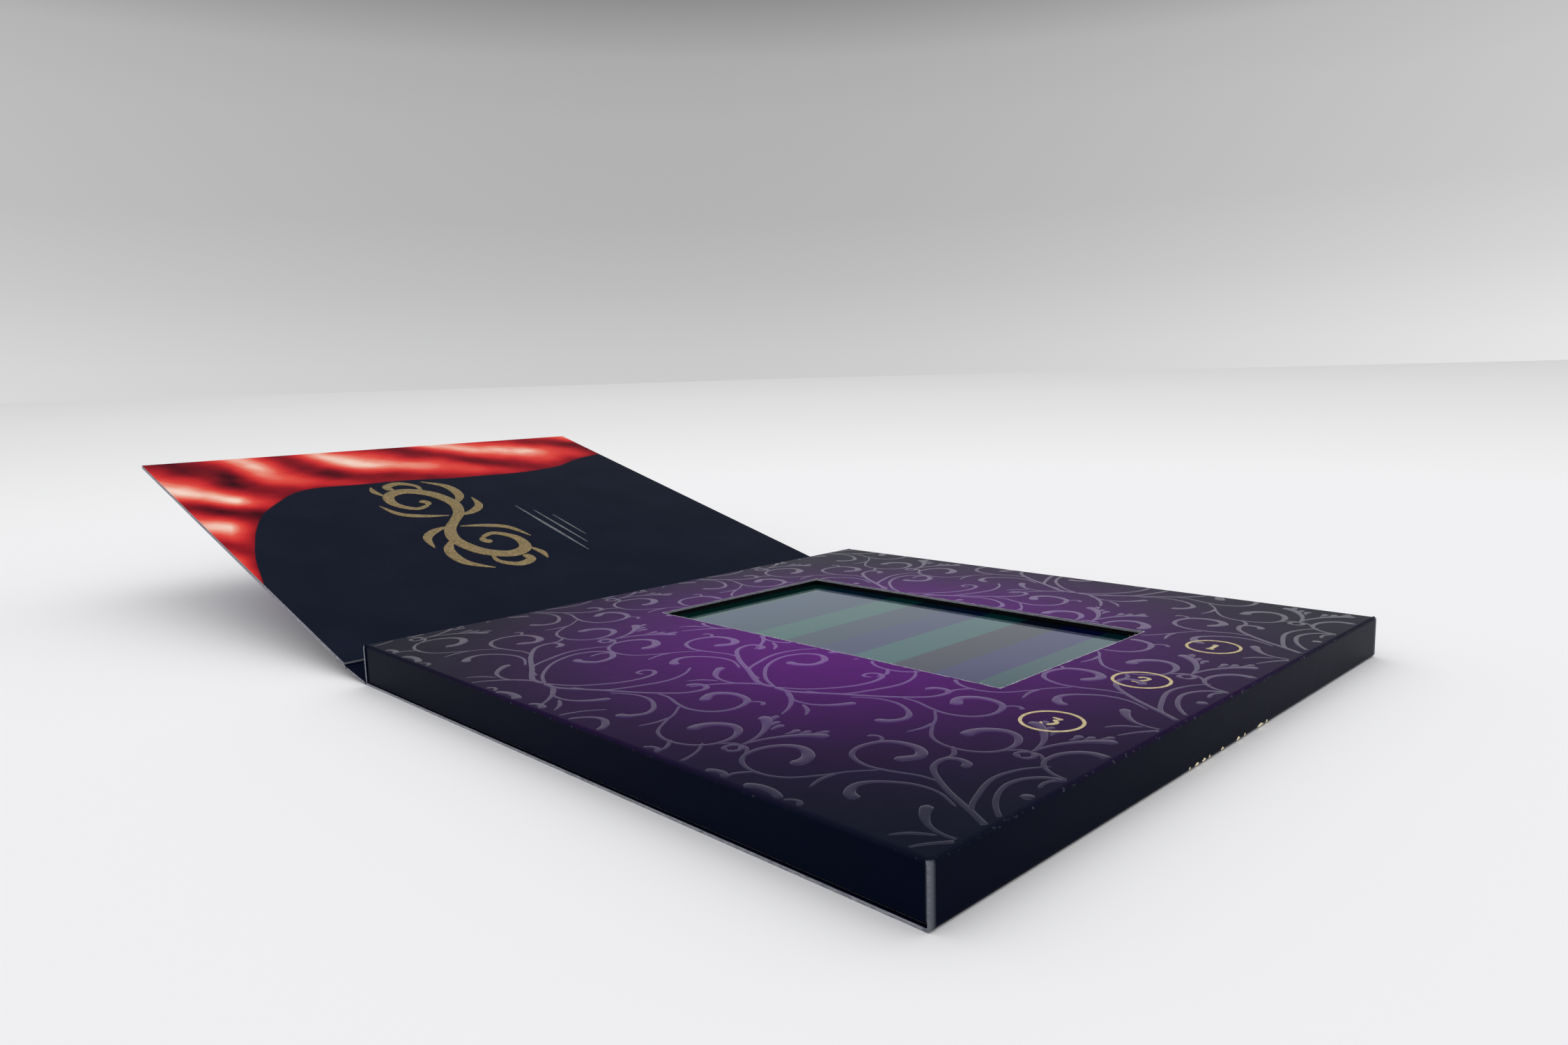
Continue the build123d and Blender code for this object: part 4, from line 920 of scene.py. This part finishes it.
# %% Tree that lays the varnish over a face
def varnish_tree(cut_outs):
    """cut_outs are (middle, half size) in metres: no varnish is printed there."""
    tree, given, result = node_tree(
        "scroll_varnish",
        [
            ("Pitch X", "NodeSocketFloat"),
            ("Pitch Y", "NodeSocketFloat"),
            ("First Row", "NodeSocketVector"),
            ("Second Row", "NodeSocketVector"),
            ("Half Size", "NodeSocketVector"),
            ("Step", "NodeSocketFloat"),
            ("Material", "NodeSocketMaterial"),
        ],
    )
    curve = smooth_curves(tree, given["Geometry"], given["Step"])
    half = attribute(tree, "half")
    lines = put(tree, "GeometryNodeCurveToMesh", {"Curve": curve}).outputs[0]
    joined = put(tree, "GeometryNodeJoinGeometry")
    columns, rows = 3, 5
    size_x = maths(tree, "MULTIPLY", given["Pitch X"], columns - 1)
    size_y = maths(tree, "MULTIPLY", given["Pitch Y"], rows - 1)
    wires = {"Size X": size_x, "Size Y": size_y, "Vertices X": columns, "Vertices Y": rows}
    lattice = put(tree, "GeometryNodeMeshGrid", wires).outputs[0]
    for start in ("First Row", "Second Row"):
        wires = {"Geometry": lattice, "Translation": given[start]}
        row = put(tree, "GeometryNodeTransform", wires).outputs[0]
        for side in (1, -1):
            wires = {0: half, 1: -side}
            other = put(tree, "FunctionNodeCompare", wires, operation="EQUAL").outputs[0]
            kept = put(tree, "GeometryNodeDeleteGeometry", {"Geometry": lines, "Selection": other})
            wires = {"Points": row, "Instance": kept.outputs[0], "Scale": (side, 1, 1)}
            copies = put(tree, "GeometryNodeInstanceOnPoints", wires).outputs[0]
            tree.links.new(copies, joined.inputs[0])
    spread = put(tree, "GeometryNodeRealizeInstances", {0: joined.outputs[0]}).outputs[0]
    spot = put(tree, "GeometryNodeInputPosition").outputs[0]
    px, py, _ = axes(tree, spot)
    size = axes(tree, given["Half Size"])
    outside_x = over(tree, maths(tree, "ABSOLUTE", px), size[0])
    outside_y = over(tree, maths(tree, "ABSOLUTE", py), size[1])
    gone = any_of(tree, outside_x, outside_y)
    for middle, extent in cut_outs:
        wires = {0: spot, 1: tuple(middle)}
        away = put(tree, "ShaderNodeVectorMath", wires, operation="SUBTRACT").outputs[0]
        ax, ay, _ = axes(tree, away)
        hit_x = under(tree, maths(tree, "ABSOLUTE", ax), extent.x)
        hit_y = under(tree, maths(tree, "ABSOLUTE", ay), extent.y)
        gone = any_of(tree, gone, all_of(tree, hit_x, hit_y))
    wires = {"Geometry": spread, "Selection": gone}
    cut = put(tree, "GeometryNodeDeleteGeometry", wires).outputs[0]
    # Let the ends follow the rounded folds at the face's edges
    fold_reach = 0.45 * MM
    falls = []
    for value, limit in ((px, size[0]), (py, size[1])):
        past = maths(tree, "SUBTRACT", maths(tree, "ABSOLUTE", value), limit)
        past = maths(tree, "MAXIMUM", maths(tree, "ADD", past, fold_reach), 0.0)
        falls.append(maths(tree, "DIVIDE", maths(tree, "POWER", past, 2.0), 2 * fold_round))
    drop = maths(tree, "ADD", *falls)
    offset = put(tree, "ShaderNodeCombineXYZ", {2: maths(tree, "MULTIPLY", drop, -1.0)}).outputs[0]
    draped = put(tree, "GeometryNodeSetPosition", {"Geometry": cut, "Offset": offset}).outputs[0]
    ready = put(tree, "GeometryNodeMeshToCurve", {"Mesh": draped}).outputs[0]
    close_tree(tree, swept(tree, ready, arch_profile), given["Material"], result)
    return tree


print("varnish tree ready")

# %% Varnish on the top face
# The pitch is that of the ornament, and each row starts at a crossing of two stems.
row_pitch = Vector((104, 52, 0)) * MM
fan_place = (52, 0)
boldness, bud = 1.36, 1.22
halves = [((0, 0), strokes), (fan_place, fan_strokes)]
half_unit = stroke_mesh("scroll_half", halves, boldness, bud)
clear_of_window = window_half + Vector((0.5, 0.5, 0)) * MM
scroll_values = {
    "Pitch X": row_pitch.x,
    "Pitch Y": row_pitch.y,
    "First Row": Vector((-20.15, 35.5, 0)) * MM,
    "Second Row": Vector((14.15, 9.5, 0)) * MM,
    "Half Size": Vector((75.95, 77.7, 0)) * MM,
    "Step": 0.5 * MM,
}


def varnished(name, lines, cut_outs, values, material):
    """Scrolls as one smooth piece, with the varnish finish that is passed in."""
    piece = grown(name, lines, varnish_tree(cut_outs), values, material)
    for face in piece.data.polygons:
        face.use_smooth = True
    return piece


cut_outs = [(window_middle, clear_of_window)]
case_scrolls = varnished("case_scrolls", half_unit, cut_outs, scroll_values, case_varnish)
case_scrolls.data.transform(Matrix.Translation((0, 0, top_z)))
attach(case_scrolls, "case")
print("varnish spans", [round(side / MM, 2) for side in case_scrolls.dimensions])

# %% [markdown]
# ## Rings and numerals
# The three buttons are printed rings with a numeral in each, stamped in pale gold. A ring is a
# flat band between two circles, with a little thickness and softened edges. The numerals are
# swept strokes like the scrolls, drawn upright along Y.

# %% Gold rings round the buttons
def flat_ring(name, middle, outer, stroke, thickness, sides=96):
    """A thin flat band with softened edges: six loops of vertices round its section."""
    mesh = bpy.data.meshes.new(name)
    shape = bmesh.new()
    soft = thickness * 0.6
    loops = []
    for radius, height in (
        (outer, -thickness),
        (outer, thickness - soft),
        (outer - soft, thickness),
        (outer - stroke + soft, thickness),
        (outer - stroke, thickness - soft),
        (outer - stroke, -thickness),
    ):
        turn = [math.tau * side / sides for side in range(sides)]
        loops.append([
            shape.verts.new(middle + Vector((radius * math.cos(a), radius * math.sin(a), height)))
            for a in turn
        ])
    for loop, following in zip(loops, loops[1:] + loops[:1]):
        for side in range(sides):
            after = (side + 1) % sides
            shape.faces.new((loop[side], loop[after], following[after], following[side]))
    bmesh.ops.recalc_face_normals(shape, faces=shape.faces)
    shape.to_mesh(mesh)
    shape.free()
    return mesh


foil_lift = 0.06 * MM
ring_radius, ring_stroke = 5.25 * MM, 0.6 * MM
for number, row in enumerate(ring_rows, 1):
    middle = Vector((ring_x, row, top_z))
    mesh = flat_ring(f"button_ring_{number}", middle, ring_radius, ring_stroke, foil_lift)
    mesh.materials.append(gold_foil)
    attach(in_scene(f"button_ring_{number}", mesh), "case")
print(len(ring_rows), "rings,", round(2 * ring_radius / MM, 1), "mm across")

# %% Numerals and ornaments as swept foil
flat = [(-1.0, -0.05), (-0.96, 0.04), (-0.5, 0.05), (0.5, 0.05), (0.96, 0.04), (1.0, -0.05)]
flat_profile = profile_object("flat_profile", flat)


def foil_tree():
    tree, given, result = node_tree(
        "foil_strokes", [("Step", "NodeSocketFloat"), ("Material", "NodeSocketMaterial")]
    )
    curve = smooth_curves(tree, given["Geometry"], given["Step"])
    close_tree(tree, swept(tree, curve, flat_profile), given["Material"], result)
    return tree


foil_strokes = foil_tree()
numerals = {
    1: [
        (0, (0.3, 0.55, 0.75), [(-0.75, 1.1), (-0.4, 1.35), (0.0, 1.75)]),
        (0, (0.8, 0.8, 0.8), [(0.05, 1.8), (0.05, 0), (0.05, -1.7)]),
        (0, (0.4, 0.5, 0.4), [(-0.8, -1.8), (0.05, -1.8), (0.9, -1.8)]),
    ],
    2: [
        (0, (0.85, 0.45, 0.75), [(-0.95, 0.9), (-0.8, 1.5), (-0.1, 1.85), (0.75, 1.5), (0.9, 0.8)]),
        (0, (0.75, 0.6, 0.4), [(0.9, 0.8), (0.55, 0.1), (-0.3, -0.8), (-1.1, -1.6)]),
        (0, (0.4, 0.7, 0.45), [(-1.1, -1.65), (-0.2, -1.5), (0.5, -1.75), (1.15, -1.4)]),
    ],
    3: [
        (0, (0.5, 0.5, 0.4), [(-0.9, 1.75), (0, 1.7), (0.95, 1.75)]),
        (0, (0.4, 0.45, 0.5), [(0.95, 1.75), (0.45, 1.1), (-0.1, 0.45)]),
        (0, (0.45, 0.75, 0.6), [(-0.1, 0.45), (0.7, 0.25), (1.0, -0.6), (0.5, -1.5), (-0.3, -1.8)]),
        (0, (0.6, 0.5, 0.9), [(-0.3, -1.8), (-0.85, -1.7), (-1.05, -1.1)]),
    ],
}
for number, row in enumerate(ring_rows, 1):
    mesh = stroke_mesh(f"numeral_{number}_lines", [((0, 0), numerals[number])], 1.15)
    values = {"Step": 0.12 * MM}
    numeral = grown(f"button_numeral_{number}", mesh, foil_strokes, values, gold_foil)
    numeral.data.transform(Matrix.Translation((ring_x, row, top_z)))
    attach(numeral, "case")

# %% [markdown]
# ## Cover ornament
# The cover's inside carries a gold foil flourish and a few thin silver rules, all flat on the
# liner. They are drawn flat, in the cover's own coordinates, and then one matrix takes them
# onto the sloping liner: X of the drawing runs from the crease to the free edge.

# %% The liner's plane
card_half, liner_sheet = 0.25 * MM, 0.45 * MM
slope_x = Vector((-math.cos(cover_rise), 0, math.sin(cover_rise)))
slope_y = Vector((0, 1, 0))
slope_z = Vector((math.sin(cover_rise), 0, math.cos(cover_rise)))
onto_liner = Matrix((slope_x, slope_y, slope_z)).transposed().to_4x4()
onto_liner.translation = crease_2 + slope_z * (card_half + liner_sheet)


def on_cover(piece, matrix):
    """Puts a flat drawing on the cover. The cover's X runs the other way, so a mirror in it
    is undone by turning the faces."""
    piece.data.transform(matrix)
    if matrix.determinant() < 0:
        piece.data.flip_normals()
    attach(piece, "cover")


# Half of the flourish; the other half is the same one turned halfway round
flourish = [
    (0, (2.6, 5.0, 1.6), [(-4, -3.6), (0, 0), (7, 6), (16, 9), (26, 6), (31, -2), (28, -10),
                          (20, -12), (14, -7), (16, -1)]),
    (0, (1.6, 2.6, 3.6), [(16, -1), (18.5, 0), (20.5, -2)]),
    (0, (0.8, 4.4, 0.6), [(14, 9), (22, 15.5), (32, 16), (39, 9)]),
    (0, (0.8, 3.0, 2.8), [(29, 4), (35, 5), (39, 0), (37, -6), (33, -6)]),
    (0, (0.6, 3.8, 0.5), [(4, 4), (6, 11), (11, 17), (19, 19)]),
    (0, (0.6, 3.4, 0.5), [(5, 1), (7, -8), (11, -15), (20, -18)]),
    (0, (0.5, 2.2, 0.4), [(27, -11), (33, -13), (38, -12)]),
]
flatter = 0.85
both_halves = [
    (both, widths, [(px * sign, py * flatter * sign) for px, py in path])
    for sign in (1, -1)
    for both, widths, path in flourish
]
ornament_lines = stroke_mesh("ornament_lines", [((0, 0), both_halves)])
values = {"Step": 0.5 * MM}
ornament = grown("cover_ornament", ornament_lines, foil_strokes, values, dull_gold_foil)
ornament.data.transform(Matrix.Translation((77 * MM, -12 * MM, 0)))
on_cover(ornament, onto_liner)
rules = [
    (0, (0.3, 1.1, 0.3), [(40, 13.5), (62, 13.5), (84, 13.5)]),
    (0, (0.3, 0.8, 0.3), [(46, 17), (62, 17), (78, 17)]),
    (0, (0.3, 0.6, 0.3), [(52, 20.5), (62, 20.5), (72, 20.5)]),
]
rule_lines = stroke_mesh("rule_lines", [((0, 0), rules)])
values = {"Step": 1.0 * MM}
on_cover(grown("cover_rules", rule_lines, foil_strokes, values, silver_foil), onto_liner)

# %% [markdown]
# The same scrolls run over the outside of the cover, which is the front of the closed
# brochure. The drawing and the tree are used again, with no window to leave out, and the
# result is laid on the outer face, whose normal points down while the cover lies open.

# %% Varnish on the outside of the cover
onto_outside = Matrix((slope_x, slope_y, -slope_z)).transposed().to_4x4()
onto_outside.translation = crease_2 - slope_z * card_half + slope_x * cover_length / 2
cover_values = {**scroll_values, "Half Size": Vector((77.0, 77.8, 0)) * MM}
cover_scrolls = varnished("cover_scrolls", half_unit.copy(), [], cover_values, cover_varnish)
on_cover(cover_scrolls, onto_outside)

# %% [markdown]
# ## Torn fibres
# The window is punched out of the card, and the punch leaves a furry rim: paper fibres stand
# out along the near side and the right side. One bent strand is drawn, and a Geometry Nodes
# tree stands copies of it along the rim, turned and sized at random with a fixed seed.

# %% One paper fibre
def strand(name, length, thick, sides=4, rings=6):
    """A bent strand that tapers to its tip, closed at both ends."""
    mesh = bpy.data.meshes.new(name)
    points, faces = [], []
    for ring in range(rings):
        share = ring / (rings - 1)
        middle = Vector((0.35 * length * share**2, 0, length * share * (1 - 0.3 * share)))
        for side in range(sides):
            turn = math.tau * side / sides
            reach = thick * (1 - 0.7 * share)
            points.append(middle + Vector((math.cos(turn), math.sin(turn), 0)) * reach)
    for ring in range(rings - 1):
        for side in range(sides):
            after = (side + 1) % sides
            low, high = ring * sides, (ring + 1) * sides
            faces.append((low + side, low + after, high + after, high + side))
    faces += [tuple(range(sides))[::-1], tuple(range((rings - 1) * sides, rings * sides))]
    mesh.from_pydata(points, [], faces)
    return bpy.data.objects.new(name, mesh)


one_fibre = strand("one_fibre", 0.75 * MM, 0.028 * MM)
print("one fibre,", len(one_fibre.data.polygons), "faces")

# %% Fibres along the punched rim
def fibre_tree(fibre):
    tree, given, result = node_tree(
        "rim_fibres",
        [
            ("Spacing", "NodeSocketFloat"),
            ("Share", "NodeSocketFloat"),
            ("Lean", "NodeSocketFloat"),
            ("Seed", "NodeSocketInt"),
            ("Material", "NodeSocketMaterial"),
        ],
    )
    curve = put(tree, "GeometryNodeMeshToCurve", {"Mesh": given["Geometry"]}).outputs[0]
    wires = {"Curve": curve, "Length": given["Spacing"]}
    spots = put(tree, "GeometryNodeResampleCurve", wires, mode="LENGTH").outputs[0]
    wires = {"Probability": given["Share"], "Seed": given["Seed"]}
    chosen = put(tree, "FunctionNodeRandomValue", wires, data_type="BOOLEAN").outputs[3]
    lean = given["Lean"]
    back = maths(tree, "MULTIPLY", lean, -1.0)
    low = put(tree, "ShaderNodeCombineXYZ", {0: back, 1: back, 2: -math.pi}).outputs[0]
    high = put(tree, "ShaderNodeCombineXYZ", {0: lean, 1: lean, 2: math.pi}).outputs[0]
    wires = {0: low, 1: high, "Seed": given["Seed"]}
    turn = put(tree, "FunctionNodeRandomValue", wires, data_type="FLOAT_VECTOR").outputs[0]
    shortest, longest = 0.35, 1.2
    wires = {2: shortest, 3: longest, "Seed": given["Seed"]}
    size = put(tree, "FunctionNodeRandomValue", wires, data_type="FLOAT").outputs[1]
    strands = put(tree, "GeometryNodeObjectInfo", {"Object": fibre}).outputs["Geometry"]
    wires = {
        "Points": spots,
        "Selection": chosen,
        "Instance": strands,
        "Rotation": turn,
        "Scale": size,
    }
    stood = put(tree, "GeometryNodeInstanceOnPoints", wires).outputs[0]
    close_tree(tree, stood, given["Material"], result)
    return tree


rim_low, rim_high = window_middle - window_half, window_middle + window_half
rim_line = bpy.data.meshes.new("rim_line")
rim_level = top_z - 0.03 * MM
rim_points = [
    (rim_low.x + 6 * MM, rim_low.y, rim_level),
    (rim_high.x, rim_low.y, rim_level),
    (rim_high.x, rim_high.y - 2 * MM, rim_level),
]
rim_line.from_pydata(rim_points, [(0, 1), (1, 2)], [])
fibre_values = {"Spacing": 0.4 * MM, "Share": 0.62, "Lean": 1.15, "Seed": 11}
fibres = fibre_tree(one_fibre)
window_fibres = grown("window_fibres", rim_line, fibres, fibre_values, fibre_finish)
# The shut cover presses on the fibres, so they are squeezed to less than its gap
fibre_limit = 0.5 * MM
for point in window_fibres.data.vertices:
    stands = point.co.z - top_z
    if stands > 0:
        point.co.z = top_z + stands * fibre_limit / (stands + fibre_limit)
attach(window_fibres, "case")

# %% [markdown]
# ## Creases
# Really the case, the spine and the cover are one sheet, scored and bent. The solids stop at
# each score, so a thin skin of card bridges the gap. It follows one panel on one side and the
# other panel on the other, so it bends when the cover swings.

# %% Skins over the two scores
def crease_skin(name, middle, slopes, reach, bodies):
    """A strip across a score: nine columns wide, as long as the spine, closed all round."""
    shape = bmesh.new()
    first_slope, last_slope = slopes
    thickness = 0.3 * MM
    towards_case = Vector((math.cos(first_slope), 0, -math.sin(first_slope)))
    towards_cover = Vector((-math.cos(last_slope), 0, math.sin(last_slope)))
    columns = []
    for step in range(-4, 5):
        share = step / 4
        away = (towards_case if share < 0 else towards_cover) * abs(share) * reach
        lean = first_slope + (last_slope - first_slope) * (share + 1) / 2
        normal = Vector((math.sin(lean), 0, math.cos(lean)))
        for side in (1, -1):
            columns.append(middle + away + normal * side * thickness / 2)
    edge = case_high.y
    rows = [-edge + 2 * edge * step / 40 for step in range(41)]
    grid = [[shape.verts.new((p.x, row, p.z)) for p in columns] for row in rows]
    upper, lower = list(range(0, 18, 2)), list(range(1, 18, 2))
    outline = upper + lower[::-1]
    for first, second in zip(grid, grid[1:]):
        for a, b in zip(outline, outline[1:] + outline[:1]):
            shape.faces.new((first[a], first[b], second[b], second[a]))
    for row in (grid[0], grid[-1]):
        for a in range(8):
            corners = upper[a], upper[a + 1], lower[a + 1], lower[a]
            shape.faces.new([row[corner] for corner in corners])
    bmesh.ops.recalc_face_normals(shape, faces=shape.faces)
    mesh = bpy.data.meshes.new(name)
    shape.to_mesh(mesh)
    shape.free()
    mesh.materials.append(spine_finish)
    skin = in_scene(name, mesh)
    start = middle + towards_case * reach * 0.6
    end = middle + towards_cover * reach * 0.6
    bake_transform(skin, *bodies, start=start, end=end)


crease_skin("crease_skin_case", crease_1, (0.0, spine_rise), 0.35 * MM, ("case", "spine"))
crease_skin(
    "crease_skin_cover", crease_2, (spine_rise, cover_rise), 0.6 * MM, ("spine", "cover")
)
print("2 crease skins")

# %% [markdown]
# ## Snap domes
# Under each plunger sits a domed steel spring. It stands on its rim and flattens when the button
# goes down. Here a copy of each dome stands in for its solid, tied to the case.

# %% Copies of the snap domes, on the case
for number in range(1, len(ring_rows) + 1):
    solid_name = f"button_{number}_dome"
    mesh = nodes[solid_name].data.copy()
    mesh.transform(nodes[solid_name].matrix_world)
    dome = in_scene(f"snap_dome_{number}", mesh)
    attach(dome, "case")
    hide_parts(solid_name)
    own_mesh(dome)

# %% [markdown]
# ## Stage and light
# A wide pale table under a soft, plain light. Far off, the table runs up into a grey wall in
# the photograph. Here the camera sees that as plain colour: rings round the object on the
# floor, and a gradient of height in the world. All other rays get even white light.

# %% Table
floor_half, floor_level = 12.0, -0.02 * MM
corners = [(-1, -1), (1, -1), (1, 1), (-1, 1)]
floor_points = [(a * floor_half, b * floor_half, floor_level) for a, b in corners]
floor_mesh = bpy.data.meshes.new("table")
floor_mesh.from_pydata(floor_points, [], [(0, 1, 2, 3)])
floor = in_scene("table", floor_mesh)
table_finish = bpy.data.materials.new("table")
table_finish.use_nodes = True
tree = table_finish.node_tree
tree.nodes.clear()
at = put(tree, "ShaderNodeTexCoord").outputs["Object"]
away = put(tree, "ShaderNodeVectorMath", {0: at}, operation="LENGTH").outputs["Value"]
rays = put(tree, "ShaderNodeLightPath").outputs
seen = any_of(tree, *[rays[f"Is {kind} Ray"] for kind in ("Camera", "Glossy", "Transmission")])
far = all_of(tree, clamped(tree, away, 0.34, 0.6), seen)
matt = put(tree, "ShaderNodeBsdfDiffuse", {"Color": ink(241, 241, 243)}).outputs[0]
# Painted light: far off, the eye sees the table glow in these tones, darker with distance. Tones by the
# power of ten of the distance in metres
distance = maths(tree, "LOGARITHM", maths(tree, "MAXIMUM", away, 0.1), 10.0)
tones = [(-0.5, 241), (-0.24, 238), (-0.09, 234), (0.14, 227), (0.64, 217), (1.0, 213)]
span = [((power + 1.0) / 2.0, ink(tone, tone, tone + 1)) for power, tone in tones]
painted_floor_glow = ramp(tree, maths(tree, "MULTIPLY_ADD", distance, 0.5, 0.5), span)
plain = put(tree, "ShaderNodeEmission", {"Color": painted_floor_glow}).outputs[0]
both = put(tree, "ShaderNodeMixShader", {0: far, 1: matt, 2: plain}).outputs[0]
put(tree, "ShaderNodeOutputMaterial", {"Surface": both})
floor_mesh.materials.append(table_finish)
print("table", 2 * floor_half, "m wide")

# %% World: a wall of grey to the eye, even white light to everything else
world = bpy.data.worlds.new("soft_room")
bpy.context.scene.world = world
world.use_nodes = True
tree = world.node_tree
tree.nodes.clear()
direction = put(tree, "ShaderNodeTexCoord").outputs["Generated"]
height = axes(tree, direction)[2]
# Tones by the height of the direction, from -0.1 to 1
wall_low = -0.1
wall = [
    (-0.02, 212), (0.018, 209), (0.05, 203), (0.081, 196), (0.142, 186), (0.22, 184),
    (0.27, 178), (0.31, 152), (0.35, 108), (0.4, 74), (0.5, 58), (0.7, 52), (1.0, 56),
]
span = [((up - wall_low) / (1 - wall_low), ink(tone, tone, tone + 1)) for up, tone in wall]
seen_wall = ramp(tree, clamped(tree, height, wall_low, 1.0), span)
# The wall brightens to both sides of the picture, and a little more to the right
wires = {0: direction, 1: view_right}
sideways = put(tree, "ShaderNodeVectorMath", wires, operation="DOT_PRODUCT").outputs["Value"]
even_light, side_light, right_light = 0.93, 0.62, 0.14
squared = maths(tree, "POWER", maths(tree, "ABSOLUTE", sideways), 2.0)
strength = maths(tree, "MULTIPLY_ADD", squared, side_light, even_light)
strength = maths(tree, "MULTIPLY_ADD", sideways, right_light, strength)
rays = put(tree, "ShaderNodeLightPath").outputs
seen = any_of(tree, *[rays[f"Is {kind} Ray"] for kind in ("Camera", "Glossy", "Transmission")])
wires = {"Color": (1, 1, 1, 1), "Strength": even_light}
even = put(tree, "ShaderNodeBackground", wires).outputs[0]
wires = {"Color": seen_wall, "Strength": strength}
shown = put(tree, "ShaderNodeBackground", wires).outputs[0]
both = put(tree, "ShaderNodeMixShader", {0: seen, 1: even, 2: shown}).outputs[0]
put(tree, "ShaderNodeOutputWorld", {"Surface": both})
print("wall of", len(wall), "tones")

# %% Lamps
def soft_lamp(name, place, target, size, watts):
    data = bpy.data.lights.new(name, "AREA")
    data.shape = "SQUARE"
    data.size = size
    data.energy = watts
    lamp = bpy.data.objects.new(name, data)
    lamp.location = place
    lamp.rotation_euler = (Vector(target) - Vector(place)).to_track_quat("-Z", "Y").to_euler()
    bpy.context.scene.collection.objects.link(lamp)
    return lamp


soft_lamp("key_lamp", (-0.1, 0.7, 1.6), (-0.05, 0, 0), 2.0, 3.0)
bpy.context.scene.view_settings.view_transform = "Standard"
print("stage lit")
